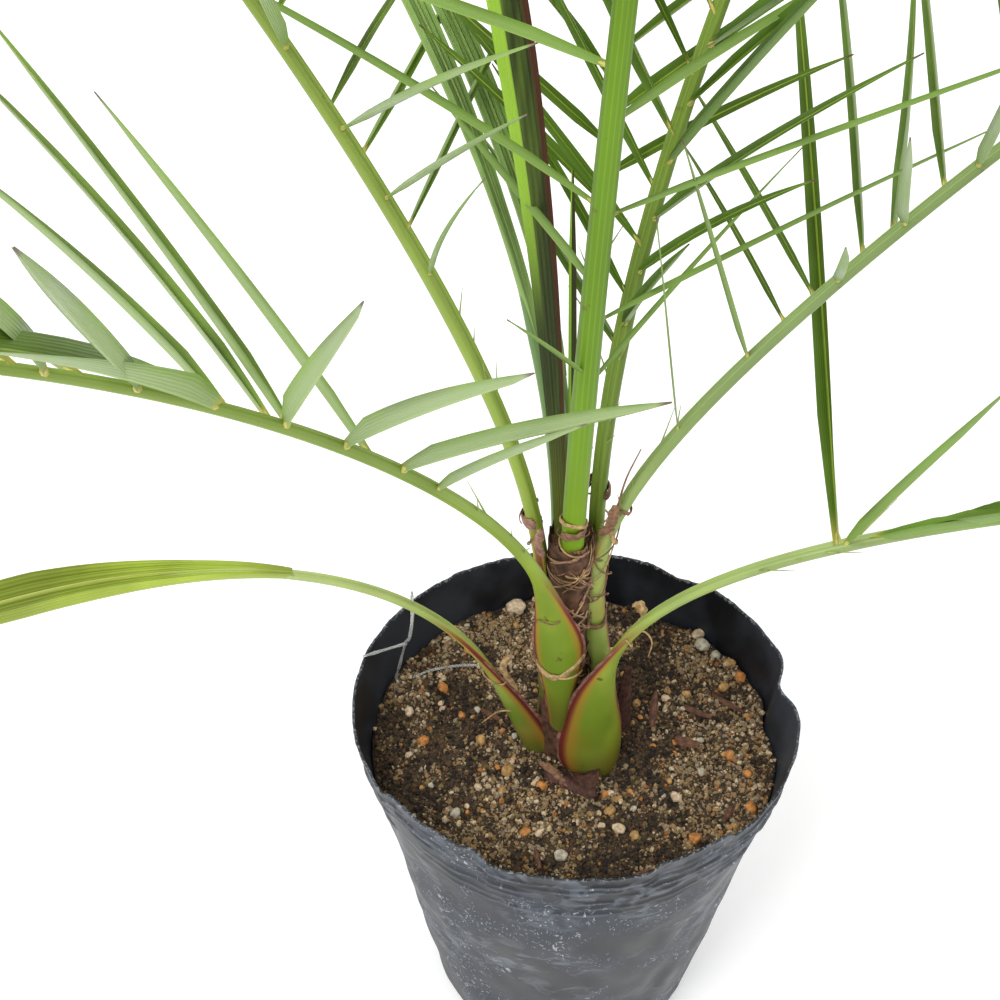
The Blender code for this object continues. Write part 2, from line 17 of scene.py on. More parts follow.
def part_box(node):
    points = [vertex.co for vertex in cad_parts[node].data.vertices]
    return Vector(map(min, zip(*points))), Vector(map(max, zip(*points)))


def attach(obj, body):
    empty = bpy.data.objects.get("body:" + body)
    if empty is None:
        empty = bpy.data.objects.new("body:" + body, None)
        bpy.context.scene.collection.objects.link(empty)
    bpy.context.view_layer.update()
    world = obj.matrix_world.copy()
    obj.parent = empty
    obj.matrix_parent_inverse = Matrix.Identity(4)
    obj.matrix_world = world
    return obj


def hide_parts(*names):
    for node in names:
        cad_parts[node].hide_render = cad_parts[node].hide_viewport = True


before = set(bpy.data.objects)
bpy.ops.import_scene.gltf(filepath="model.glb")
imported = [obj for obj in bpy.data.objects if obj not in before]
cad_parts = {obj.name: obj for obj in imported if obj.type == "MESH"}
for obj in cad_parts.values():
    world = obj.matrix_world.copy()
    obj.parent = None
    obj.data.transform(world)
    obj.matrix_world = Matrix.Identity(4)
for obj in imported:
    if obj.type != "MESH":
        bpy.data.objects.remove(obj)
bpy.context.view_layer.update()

# ---- driving dimensions -------------------------------------------------------------------
POT_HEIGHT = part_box("pot")[1].z
POT_RIM_RADIUS = 0.0763
POT_FOOT_RADIUS = 0.0527
POT_FOOT_ROUND = 0.005
FILM = 0.0008
RIM_OVAL = 0.0024
RIM_FOLDS = ((4.0, 0.0052, 6.0), (55.0, 0.0026, 6.0))      # azimuth, depth, width in degrees
RIM_SLACK = 0.055
LOBE = -12                  # azimuth where the rim folds outwards, with a painted highlight on its inside there
RIM_LIFTS = ((-131, 0.0046, 13, 5), (-61, 0.004, 9, 4))    # azimuth, rise, half width, softness
CREASES = (0.006, 0.0095, 0.013, 0.017, 0.0205, 0.0245)    # depths below the rim
CREASE_RISE = 0.00095
CREASE_WIDTH = 0.00062
DRAIN_HOLES = 6
DRAIN_RADIUS = 0.0045
DRAIN_RING = 0.034

SOIL_LEVEL = POT_HEIGHT - 0.023
SOIL_FLAT_RADIUS = 0.026
SOIL_ROUGHNESS = 0.0024
GRAINS = 20000
PEBBLE_COUNT = 90
PATH_STEP = 0.004
LEAF_STATIONS = 13
LEAF_CLEARANCE = 0.0034     # kept between a leaflet and the other fronds
STALK_SIDES = 28
SHEATH_CUP = 0.24           # how deep a sheath is cupped, as a share of its width
RIB_TIP = (0.0014, 0.0012)  # width and thickness at a rib's tip
SPINES = 4
SPEAR_RIBS = 18
SLEEVE_TOP = SOIL_LEVEL + 0.103
SLEEVE_THREADS = 70
ROUND_FIBRE = 0.0013        # fibres narrower than this are round
STRAP_RIB = 0.04            # how far a strap's petiole runs on under its blade

CAMERA_PLACE = (-0.0266, -0.3288, POT_HEIGHT + 0.397)
CAMERA_TILT = 47.4          # degrees up from straight down
CAMERA_LENS = 52.2


@dataclass
class Frond:
    """One leaf, as in the solids, with its finer leaflets and its colours."""
    name: str
    heading: float
    foot: tuple
    start: float
    settled: float
    bend: float
    length: float
    droop: float
    sheath: tuple
    sheath_length: float
    petiole: tuple
    first: float
    kind: str = "pinnate"
    pitch: float = 0.0
    leaf: float = 0.0
    leaf_width: float = 0.0
    spread: tuple = (62, 30)
    lift: tuple = (45, 45)
    face: tuple = ()            # way the sheath's back looks, and where its turn starts and ends
    girth: tuple = ()           # listed widths of the sheath: distance and width
    early: tuple = ()           # lowest leaflets: distance, side, spread, lift, length, sag, width
    tone: str = "mid"


FRONDS = (
    Frond("right_low", heading=-8, foot=(-54, 0.0138, 0.0005), start=94, settled=21, bend=0.074,
        length=0.42, droop=31, sheath=(0.021, 0.005), sheath_length=0.075, petiole=(0.0042, 0.0036),
        first=0.15, pitch=0.03, leaf=0.19, leaf_width=0.0078, spread=(80, 26), lift=(42, 36),
        face=(-62, 0.03, 0.1),
        girth=((0, 0.023), (0.006, 0.0256), (0.012, 0.0256), (0.018, 0.0238), (0.024, 0.0215),
        (0.03, 0.019), (0.036, 0.017), (0.042, 0.015), (0.05, 0.012), (0.058, 0.0085), (0.066, 0.0056),
        (0.077, 0.004), (0.11, 0.0041), (0.15, 0.0046)),
        early=((0.148, 1, 84, 28, 0.25, 6, 0.0092), (0.15, -1, 64, 56, 0.14, 4, 0.0044),
        (0.158, -1, 24, 36, 0.12, 4, 0.0078), (0.168, -1, 34, 44, 0.13, 5, 0.0078),
        (0.177, -1, 44, 48, 0.13, 6, 0.0078), (0.19, -1, 56, 40, 0.15, 6, 0.0078),
        (0.2, -1, 56, 30, 0.15, 6, 0.0078))),
    Frond("left_strap", heading=184, foot=(189, 0.0138, 0.001), start=70, settled=-13, bend=0.103,
        length=0.36, droop=32, sheath=(0.0135, 0.0045), sheath_length=0.06, petiole=(0.0038, 0.0032),
        first=0.128, kind="strap", leaf=0.0096, tone="yellow", face=(232, 0.02, 0.075),
        girth=((0, 0.015), (0.006, 0.0148), (0.012, 0.0136), (0.018, 0.0118), (0.024, 0.01), (0.03, 0.0088),
        (0.04, 0.0068), (0.05, 0.0048), (0.06, 0.0037), (0.128, 0.0032))),
    Frond("left_front", heading=218, foot=(240, 0.0122, 0.0265), start=88, settled=49, bend=0.076,
        length=0.49, droop=53, sheath=(0.0135, 0.0042), sheath_length=0.06, petiole=(0.005, 0.0042),
        first=0.122, pitch=0.03, leaf=0.175, leaf_width=0.0072, spread=(54, 30), lift=(36, 28),
        face=(266, 0.03, 0.1), tone="pale",
        girth=((0, 0.008), (0.006, 0.0093), (0.012, 0.0107), (0.018, 0.0126), (0.024, 0.0146),
        (0.03, 0.016), (0.036, 0.0164), (0.042, 0.0155), (0.048, 0.014), (0.054, 0.0122), (0.06, 0.0104),
        (0.066, 0.0088), (0.074, 0.0068), (0.084, 0.005), (0.096, 0.0038), (0.122, 0.0035)),
        early=((0.144, 1, 48, 28, 0.12, 3, 0.0042), (0.161, 1, 60, 32, 0.125, 3, 0.008),
        (0.184, 1, 56, 32, 0.12, 4, 0.0088), (0.205, 1, 52, 40, 0.095, 3, 0.0088),
        (0.173, -1, 56, 24, 0.115, 4, 0.005), (0.203, -1, 56, 28, 0.12, 3, 0.0052),
        (0.21, -1, 76, 12, 0.145, 4, 0.0052), (0.224, -1, 80, 4, 0.12, 4, 0.006),
        (0.226, 1, 24, 32, 0.12, 12, 0.0125), (0.248, 1, 48, 32, 0.15, 4, 0.007))),
    Frond("front_upright", heading=276, foot=(244, 0.0084, 0.02), start=96, settled=82, bend=0.06,
        length=0.58, droop=26, sheath=(0.0085, 0.0046), sheath_length=0.08, petiole=(0.0073, 0.0054),
        first=0.14, pitch=0.031, leaf=0.18, leaf_width=0.005, spread=(72, 32), lift=(24, 20),
        early=((0.152, 1, 60, 36, 0.09, 4, 0.002), (0.158, -1, 36, -48, 0.065, 2, 0.0019),
        (0.177, 1, 72, 16, 0.125, 4, 0.0024), (0.191, -1, 76, 60, 0.075, 3, 0.0033),
        (0.214, 1, 72, 8, 0.13, 4, 0.0029), (0.217, -1, 68, 28, 0.13, 4, 0.004),
        (0.243, 1, 88, 36, 0.13, 4, 0.0037), (0.258, -1, 72, 12, 0.12, 4, 0.0043))),
    Frond("left_back", heading=164, foot=(190, 0.01, 0.0325), start=88, settled=62, bend=0.096, length=0.57,
        droop=39, sheath=(0.0085, 0.0042), sheath_length=0.07, petiole=(0.006, 0.0044), first=0.15,
        pitch=0.031, leaf=0.17, leaf_width=0.0052, spread=(74, 34), lift=(45, 40), tone="light",
        early=((0.168, 1, 64, 40, 0.15, 2, 0.0019), (0.182, -1, 60, 44, 0.11, 3, 0.0027),
        (0.193, 1, 72, 48, 0.13, 4, 0.0029), (0.206, -1, 70, 30, 0.13, 3, 0.0037),
        (0.215, 1, 78, 48, 0.15, 4, 0.0034), (0.221, -1, 88, -4, 0.14, 4, 0.0038))),
    Frond("right", heading=0, foot=(358, 0.0098, 0.028), start=100, settled=51, bend=0.074, length=0.57,
        droop=31, sheath=(0.0095, 0.0066), sheath_length=0.08, petiole=(0.005, 0.0042), first=0.118,
        pitch=0.03, leaf=0.17, leaf_width=0.005, spread=(74, 34), lift=(26, 40), face=(290, 0.05, 0.105),
        girth=((0, 0.0085), (0.015, 0.0102), (0.035, 0.0106), (0.05, 0.0094), (0.062, 0.0078),
        (0.075, 0.006), (0.09, 0.005), (0.118, 0.0046)),
        early=((0.122, -1, 48, 52, 0.125, 1, 0.001), (0.154, -1, 56, 72, 0.09, 2, 0.0026),
        (0.169, 1, 88, 28, 0.075, 2, 0.0029), (0.18, 1, 88, 28, 0.09, 2, 0.0037),
        (0.197, 1, 68, 20, 0.12, 3, 0.0043), (0.207, 1, 72, 0, 0.135, 4, 0.0045),
        (0.224, 1, 72, 12, 0.12, 4, 0.0045), (0.234, -1, 72, 40, 0.125, 4, 0.0045),
        (0.188, -1, 70, 36, 0.11, 3, 0.004), (0.211, -1, 72, 40, 0.12, 3, 0.0043)), tone="glaucous"),
    Frond("back_right", heading=42, foot=(58, 0.0151, 0.0005), start=94, settled=65.5, bend=0.197,
        length=0.6, droop=42, sheath=(0.009, 0.004), sheath_length=0.085, petiole=(0.0056, 0.0044),
        first=0.16, pitch=0.031, leaf=0.17, leaf_width=0.0048, spread=(48, 30), lift=(26, 26), tone="deep"),
    Frond("back_left_strap", heading=145, foot=(136, 0.014, 0.0005), start=93, settled=65.5, bend=0.182,
        length=0.44, droop=39, sheath=(0.009, 0.0038), sheath_length=0.07, petiole=(0.0048, 0.0036),
        first=0.17, kind="strap", leaf=0.0042, tone="blue"),
    Frond("back", heading=79, foot=(108, 0.0076, 0.035), start=88, settled=66, bend=0.14, length=0.58,
        droop=46, sheath=(0.0085, 0.0042), sheath_length=0.07, petiole=(0.0058, 0.0044), first=0.165,
        pitch=0.031, leaf=0.165, leaf_width=0.0048, spread=(50, 30), lift=(30, 30), tone="mid"),
    Frond("back_strap", heading=138, foot=(102, 0.016, 0.0005), start=91, settled=58.5, bend=0.3,
        length=0.36, droop=49, sheath=(0.008, 0.0036), sheath_length=0.06, petiole=(0.0044, 0.0034),
        first=0.15, kind="strap", leaf=0.0044, tone="blue"),
)

# spears: name, heading, foot (azimuth, radius, height above the soil), elevation at the foot,
# elevation lost by the tip, length, widths
SPEARS = (
    ("spear_tall", 176, (154, 0.0046, 0.046), 87, 32, 0.5,
     ((0, 0.0038), (0.17, 0.0042), (0.22, 0.0054), (0.3, 0.007), (0.36, 0.008),
      (0.43, 0.0094), (0.5, 0.0092), (0.75, 0.0068), (1, 0.0015))),
    ("spear_short", 160, (112, 0.0048, 0.048), 88, 0, 0.18,
     ((0, 0.003), (0.4, 0.0028), (0.85, 0.002), (1, 0.0006))),
)

# pebbles on the soil: x, y, length and colour
PEBBLES = (
    (-0.0203, 0.064, 0.008, "cream"), (0.029, 0.064, 0.0055, "ochre"), (0.0503, 0.05, 0.0056, "cream"),
    (0.051, 0.044, 0.0062, "grey"), (0.056, 0.04, 0.005, "grey"), (0.061, 0.035, 0.0044, "ochre"),
    (0.064, 0.029, 0.005, "orange"), (0.0575, 0.025, 0.0046, "ochre"), (0.0431, 0.0206, 0.004, "ochre"),
    (0.024, 0.016, 0.0038, "ochre"), (-0.0377, 0.0419, 0.0056, "orange"),
    (-0.0479, 0.0235, 0.005, "orange"), (-0.0544, -0.0014, 0.005, "orange"),
    (-0.012, -0.021, 0.0044, "orange"), (0.0603, -0.0313, 0.0052, "orange"),
    (0.0397, -0.0435, 0.005, "orange"), (-0.0335, -0.0014, 0.0044, "ochre"),
    (-0.024, -0.015, 0.005, "ochre"), (0.0142, -0.0383, 0.0048, "cream"), (0.0195, -0.041, 0.0044, "ochre"),
    (0.0115, -0.032, 0.0042, "ochre"), (0.035, -0.026, 0.0046, "cream"), (-0.042, -0.033, 0.0044, "grey"),
    (-0.006, -0.05, 0.005, "grey"), (-0.06, 0.012, 0.0042, "cream"), (-0.018, -0.04, 0.004, "orange"),
    (0.008, 0.056, 0.0046, "grey"), (0.056, -0.008, 0.0042, "orange"),
)

# fibres round the leaf bases: frond, start and end distance, start and end turn in degrees
# (180 and 360 the edges, 270 the outer middle), width, looseness and colour
WRAPS = (
    ("left_front", 0.025, 0.029, 168, 372, 0.0026, 0.0007, "tan"),
    ("left_front", 0.03, 0.023, 176, 352, 0.0012, 0.001, "tan"),
    ("left_front", 0.048, 0.056, 175, 300, 0.0009, 0.0005, "brown"),
    ("left_back", 0.074, 0.08, 160, 380, 0.005, 0.0012, "pink"),
    ("left_back", 0.083, 0.079, 150, 320, 0.0016, 0.0016, "pink"),
    ("left_back", 0.06, 0.072, 170, 340, 0.001, 0.001, "brown"),
    ("front_upright", 0.079, 0.084, 120, 420, 0.002, 0.0009, "brown"),
    ("front_upright", 0.086, 0.081, 120, 420, 0.0011, 0.0014, "tan"),
    ("front_upright", 0.09, 0.089, 120, 420, 0.0008, 0.001, "brown"),
    ("front_upright", 0.07, 0.078, 170, 372, 0.001, 0.001, "brown"),
    ("front_upright", 0.062, 0.055, 170, 360, 0.0008, 0.0008, "tan"),
    ("front_upright", 0.096, 0.093, 120, 420, 0.0016, 0.0007, "tan"),
    ("front_upright", 0.088, 0.094, 170, 400, 0.003, 0.001, "brown"),
    ("right", 0.042, 0.062, 170, 370, 0.001, 0.0008, "brown"),
    ("right", 0.06, 0.044, 170, 370, 0.001, 0.0011, "brown"),
    ("right", 0.052, 0.074, 170, 370, 0.0009, 0.0009, "tan"),
    ("right", 0.072, 0.054, 170, 370, 0.0009, 0.0013, "brown"),
    ("right", 0.064, 0.086, 170, 370, 0.001, 0.001, "brown"),
    ("right", 0.084, 0.068, 170, 380, 0.0014, 0.0013, "tan"),
    ("right", 0.088, 0.09, 160, 390, 0.0015, 0.0007, "brown"),
    ("right", 0.035, 0.04, 170, 370, 0.0018, 0.001, "brown"),
    ("back_right", 0.112, 0.118, 170, 390, 0.0042, 0.0009, "brown"),
    ("back_right", 0.1, 0.108, 170, 370, 0.0012, 0.0008, "tan"),
    ("back", 0.078, 0.082, 170, 370, 0.003, 0.0008, "brown"),
    ("back_left_strap", 0.08, 0.086, 170, 370, 0.002, 0.0007, "brown"),
    ("right_low", 0.07, 0.066, 175, 372, 0.0012, 0.0006, "tan"),
    ("left_strap", 0.044, 0.04, 175, 372, 0.0012, 0.0005, "tan"),
)

# loose strips and fibres: points, broad side's facing, width (0 for a round fibre) and colour
STRIPS = (
    (((0.0135, -0.0125, 0.196), (0.017, -0.0128, 0.203), (0.0196, -0.0115, 0.209),
      (0.0188, -0.0095, 0.2128), (0.016, -0.0088, 0.2112)), (0.2, -1, 0.2), 0.0022, "tan"),
    (((-0.0205, -0.005, 0.165), (-0.0236, -0.006, 0.172), (-0.0256, -0.0068, 0.178),
      (-0.0246, -0.0066, 0.1828), (-0.0218, -0.006, 0.1836)), (-0.2, -1, 0.2), 0.0024, "tan"),
    (((-0.011, -0.018, 0.1372), (-0.005, -0.0205, 0.1362), (0.001, -0.0235, 0.1356),
      (0.0075, -0.0265, 0.1346)), (0.1, -0.3, 1), 0.0046, "maroon"),
    (((-0.0125, -0.0165, 0.14), (-0.0075, -0.019, 0.1378), (-0.003, -0.023, 0.135)),
     (0.1, -0.6, 1), 0.0026, "brown"),
    (((0.015, -0.0125, 0.204), (0.02, -0.0132, 0.2042), (0.0228, -0.013, 0.199),
      (0.0222, -0.0128, 0.192)), (0, -1, 0), 0, "tan"),
    (((-0.02, -0.005, 0.154), (-0.027, -0.0065, 0.1556), (-0.033, -0.007, 0.15)),
     (0, -1, 0), 0, "tan"),
    (((0.009, -0.004, 0.248), (0.0112, -0.0042, 0.262), (0.015, -0.004, 0.274)),
     (0, -1, 0), 0, "brown"),
    (((0.0045, -0.004, 0.238), (0.0075, -0.0062, 0.245), (0.0085, -0.006, 0.253)),
     (0.1, -1, 0.1), 0.0034, "brown"),
    (((-0.013, -0.006, 0.23), (-0.015, -0.0075, 0.237), (-0.014, -0.0085, 0.245)),
     (-0.3, -1, 0.1), 0.0026, "pink"),
)
FIBRE_COLOURS = {
    "tan": (0.42, 0.27, 0.12), "brown": (0.215, 0.11, 0.055), "pink": (0.33, 0.175, 0.12),
    "maroon": (0.09, 0.03, 0.022),
}

# a clear strand from the left strap's petiole to the pot's edge and over the soil
STRAND = (
    ((-0.0548, -0.0072, 0.2163), (-0.056, 0.002, 0.194), (-0.0585, 0.014, 0.171),
     (-0.061, 0.025, 0.156), (-0.064, 0.0262, 0.142), (-0.0655, 0.027, 0.1345),
     (-0.0634, 0.026, 0.133), (-0.0531, 0.0309, 0.1338), (-0.0418, 0.0334, 0.1338),
     (-0.0304, 0.0334, 0.1338)),
    ((-0.0606, 0.024, 0.157), (-0.069, 0.021, 0.1566), (-0.0762, 0.0186, 0.156)),
)

# dry leaf bases: name, azimuth, way its back looks, radius, height above the soil, lean at its
# foot and its end, length and width
DRY_BASES = (
    ("dead_sheath_right", 12, 300, 0.0182, 0.001, (92, 84), 0.034, 0.0092),
    ("dead_sheath_front", 279, 279, 0.0185, 0.0035, (20, -4), 0.011, 0.0105),
)


# ---- meshes from arrays -------------------------------------------------------------------
def rough(*spot):
    """Smooth noise at a spot, from about -1 to 1."""
    return noise.noise(Vector(spot))


def rough_round(turn, scale, level):
    """The same on a circle round the axis, for an angle, a fineness and a level."""
    return rough(math.cos(turn) * scale, math.sin(turn) * scale, level)


def turns_round(count):
    """Angles evenly round a circle."""
    return 2 * math.pi * np.arange(count) / count


def ring(turns, radius, height):
    """Points round the axis, with one radius and height or one for each turn."""
    turns, radius, height = np.broadcast_arrays(turns, radius, height)
    return np.stack([radius * np.cos(turns), radius * np.sin(turns), height], -1)


def above_soil(azimuth, radius, height):
    """A point at an azimuth in degrees, a radius and a height over the soil."""
    return ring(math.radians(azimuth), radius, SOIL_LEVEL + height)


def mesh_arrays(work):
    """Corners and faces of a bmesh, which is freed."""
    work.verts.index_update()
    corners = np.array([tuple(vertex.co) for vertex in work.verts])
    faces = np.array([[vertex.index for vertex in face.verts] for face in work.faces])
    work.free()
    return corners, faces


class Batch:
    """Collects points, faces and named point values, and turns them into one mesh."""

    def __init__(self, *values):
        self.points, self.faces, self.count = [], [], 0
        self.values = {name: [] for name in values}

    def add(self, points, faces, **values):
        points = np.asarray(points, float).reshape(-1, 3)
        self.points.append(points)
        self.faces.extend(np.asarray(block) + self.count for block in faces)
        for name, store in self.values.items():
            store.append(np.broadcast_to(values.get(name, 0.0), (len(points),)))
        self.count += len(points)

    def build(self, name, material, slot, replaced=(), angle=40):
        corners = np.concatenate([block.ravel() for block in self.faces])
        totals = np.concatenate([np.full(len(block), block.shape[1]) for block in self.faces])
        mesh = bpy.data.meshes.new(name)
        mesh.vertices.add(self.count)
        mesh.vertices.foreach_set("co", np.concatenate(self.points).ravel())
        mesh.loops.add(len(corners))
        mesh.loops.foreach_set("vertex_index", corners)
        mesh.polygons.add(len(totals))
        mesh.polygons.foreach_set("loop_start", np.concatenate([[0], np.cumsum(totals)[:-1]]))
        mesh.polygons.foreach_set("loop_total", totals)
        mesh.update(calc_edges=True)
        for value, store in self.values.items():
            layer = mesh.attributes.new(value, "FLOAT", "POINT")
            layer.data.foreach_set("value", np.concatenate(store).astype(np.float32))
        mesh.shade_smooth()
        if angle < 180:
            mesh.set_sharp_from_angle(angle=math.radians(angle))
        mesh.materials.append(material)
        piece = bpy.data.objects.new(name, mesh)
        bpy.context.scene.collection.objects.link(piece)
        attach(piece, "root")
        if replaced:
            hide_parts(*replaced)
        return piece


def ring_faces(rings, sides):
    """Quads between neighbouring rings, and fans to two end points that follow the rings."""
    index = np.arange(rings * sides).reshape(rings, sides)
    after = np.roll(index, -1, axis=1)
    quads = np.stack([index[:-1], after[:-1], after[1:], index[1:]], -1).reshape(-1, 4)
    low, high = rings * sides, rings * sides + 1
    caps = [np.stack([after[0], index[0], np.full(sides, low)], -1),
            np.stack([index[-1], after[-1], np.full(sides, high)], -1)]
    return [quads, np.concatenate(caps)]


def add_rings(batch, rings, ends=None, **values):
    """A closed skin over rings, an array of stations, sides and coordinates."""
    stations, sides = rings.shape[:2]
    if ends is None:
        ends = np.stack([rings[0].mean(0), rings[-1].mean(0)])
    points = np.concatenate([rings.reshape(-1, 3), ends])
    filled = {}
    for name, value in values.items():
        value = np.asarray(value)
        spread = np.broadcast_to(value[:, None] if value.ndim == 1 else value, (stations, sides))
        filled[name] = np.concatenate([spread.ravel(), [spread[0].mean(), spread[-1].mean()]])
    batch.add(points, ring_faces(stations, sides), **filled)


def ring_piece(name, material, slot, rings, replaced=(), angle=60, ends=None, **values):
    """A piece that is one closed skin over rings."""
    batch = Batch(*values)
    add_rings(batch, np.asarray(rings), ends, **values)
    return batch.build(name, material, slot, replaced, angle)


def unit(vectors):
    return vectors / np.maximum(np.linalg.norm(vectors, axis=-1, keepdims=True), 1e-12)


def tangents(line):
    return unit(np.gradient(line, axis=0))


def carried(line, start):
    """Two directions across a line, carried along it without twist."""
    ahead = tangents(line)
    across = np.zeros_like(line)
    current = np.asarray(start, float)
    for number, direction in enumerate(ahead):
        current = current - direction * current.dot(direction)
        if np.linalg.norm(current) < 1e-6:
            current = np.cross(direction, (0.3, 0.7, 0.6))
        current = current / np.linalg.norm(current)
        across[number] = current
    return across, np.cross(ahead, across)


def add_tube(batch, line, radii, sides=6, **values):
    line = np.asarray(line, float)
    one, two = carried(line, (0.13, 0.31, 0.94))
    turn = turns_round(sides)[:, None]
    radii = np.broadcast_to(radii, (len(line),))[:, None, None]
    circle = one[:, None] * np.cos(turn) + two[:, None] * np.sin(turn)
    add_rings(batch, line[:, None] + circle * radii, **values)


def smooth_line(points, count):
    """A Catmull-Rom curve through points."""
    points = np.asarray(points, float)
    ends = np.concatenate([[2 * points[0] - points[1]], points, [2 * points[-1] - points[-2]]])
    out = []
    for place_on in np.linspace(0, len(points) - 1, count):
        number = min(int(place_on), len(points) - 2)
        t = place_on - number
        a, b, c, d = ends[number:number + 4]
        out.append(0.5 * (2 * b + (c - a) * t + (2 * a - 5 * b + 4 * c - d) * t * t
                          + (3 * b - a - 3 * c + d) * t ** 3))
    return np.array(out)


# ---- materials ----------------------------------------------------------------------------
class Finish:
    """A material with one Principled shader, put together from short steps."""

    def __init__(self, name, roughness, **sockets):
        self.material = bpy.data.materials.new(name)
        self.material.use_nodes = True
        self.nodes = self.material.node_tree.nodes
        self.links = self.material.node_tree.links
        self.shader = self.nodes["Principled BSDF"].inputs
        self.set("Roughness", roughness)
        for socket, value in sockets.items():
            self.set(socket.replace("_", " "), value)

    def set(self, socket, value):
        self.feed(self.shader[socket], value)

    def feed(self, socket, value):
        if isinstance(value, bpy.types.NodeSocket):
            self.links.new(value, socket)
        elif socket.type == "RGBA":
            socket.default_value = (*value, 1.0)
        else:
            socket.default_value = value

    def step(self, kind, inputs, output, **settings):
        """One node: its inputs by name or number, its settings, and the output it gives."""
        node = self.nodes.new("ShaderNode" + kind)
        for name, value in settings.items():
            setattr(node, name, value)
        for name, value in inputs.items():
            self.feed(node.inputs[name], value)
        return node.outputs[output]

    def place(self, stretch=(1, 1, 1)):
        spot = self.step("TexCoord", {}, "Object")
        return self.step("Mapping", {"Vector": spot, "Scale": stretch}, "Vector")

    def value(self, name):
        return self.step("Attribute", {}, "Fac", attribute_name=name)

    def noise(self, scale, detail=3.0, stretch=(1, 1, 1), distortion=0.0):
        return self.step("TexNoise", {"Vector": self.place(stretch), "Scale": scale,
                                      "Detail": detail, "Distortion": distortion}, "Fac")

    def math(self, operation, one, two=0.0):
        return self.step("Math", {0: one, 1: two}, 0, operation=operation)

    def wave(self, source, turns):
        return self.math("SINE", self.math("MULTIPLY", source, turns))

    def times(self, share, *others):
        for other in others:
            share = self.math("MULTIPLY", share, other)
        return share

    def between(self, source, low, high, start=0.0, end=1.0):
        return self.step("MapRange", {"Value": source, "From Min": low, "From Max": high,
                                      "To Min": start, "To Max": end}, "Result",
                         interpolation_type="SMOOTHSTEP")

    def base(self, share, one, two):
        """The first colour, mixed from two."""
        self.colour = self.step("Mix", {"Factor": share, 6: one, 7: two}, 2, data_type="RGBA")
        self.set("Base Color", self.colour)

    def coat(self, colour, *shares):
        """A colour over what is there, as strong as the product of the shares."""
        self.base(self.times(*shares), self.colour, colour)

    def bump(self, height, strength, depth):
        self.set("Normal", self.step("Bump", {"Strength": strength, "Distance": depth,
                                              "Height": height}, "Normal"))


def tint(colour, strength):
    return tuple(min(1, channel * strength) for channel in colour)


LEAF_TONES = {          # face, under side, rib
    "mid": ((0.13, 0.235, 0.024), (0.205, 0.32, 0.075), (0.44, 0.56, 0.085)),
    "light": ((0.17, 0.285, 0.032), (0.24, 0.36, 0.095), (0.48, 0.59, 0.11)),
    "pale": ((0.175, 0.285, 0.042), (0.29, 0.385, 0.165), (0.5, 0.6, 0.14)),
    "deep": ((0.105, 0.2, 0.02), (0.175, 0.285, 0.062), (0.34, 0.46, 0.065)),
    "blue": ((0.26, 0.4, 0.11), (0.33, 0.46, 0.17), (0.42, 0.53, 0.17)),
    "yellow": ((0.33, 0.42, 0.055), (0.38, 0.46, 0.15), (0.56, 0.6, 0.16)),
    "glaucous": ((0.15, 0.25, 0.042), (0.255, 0.355, 0.125), (0.45, 0.54, 0.14)),
}


def leaf_finish(tone):
    """A pale rib and fine veins on a clouded face, a bluer under side and a brown tip."""
    face, under, rib = LEAF_TONES[tone]
    skin = Finish(f"leaf_{tone}", 0.44, Specular_IOR_Level=0.25)
    across, along = skin.value("across"), skin.value("along")
    cloud = skin.noise(26)
    veins = skin.wave(across, 42.0)
    skin.base(skin.between(cloud, 0.32, 0.68), tint(face, 0.66), tint(face, 1.3))
    skin.coat(tint(face, 0.6), skin.between(veins, -1, 1, 0, 0.12 if tone == "blue" else 0.26))
    skin.coat(tint(face, 0.55), skin.between(skin.value("shade"), 0, 1, 0, 0.55))
    skin.coat(rib, skin.between(skin.math("ABSOLUTE", across), 0.06, 0.17, 0.85, 0))
    skin.coat(under, skin.value("under"), 0.85)
    skin.coat((0.42, 0.4, 0.08), skin.between(along, 0, 0.05, 0.9, 0))
    skin.coat((0.11, 0.055, 0.045), skin.between(along, 0.955, 0.99, 0, 0.9))
    skin.set("Roughness", skin.between(cloud, 0.3, 0.7, 0.34, 0.52))
    skin.bump(veins, 0.25, 0.0002)
    return skin.material


STALK_TONES = {         # low part, high part
    "mid": ((0.3, 0.39, 0.022), (0.255, 0.37, 0.055)),
    "stem": ((0.265, 0.4, 0.012), (0.135, 0.26, 0.01)),
    "bloom": ((0.3, 0.39, 0.022), (0.34, 0.44, 0.16)),
    "light": ((0.33, 0.42, 0.04), (0.28, 0.38, 0.07)),
    "pale": ((0.3, 0.39, 0.022), (0.25, 0.35, 0.065)),
    "deep": ((0.29, 0.38, 0.05), (0.18, 0.27, 0.04)),
    "blue": ((0.23, 0.35, 0.07), (0.19, 0.31, 0.11)),
    "yellow": ((0.33, 0.42, 0.04), (0.45, 0.54, 0.21)),
    "glaucous": ((0.4, 0.5, 0.11), (0.27, 0.37, 0.13)),
}
STALK_TONE = {"front_upright": "stem", "right_low": "bloom"}    # not their leaflets' tone


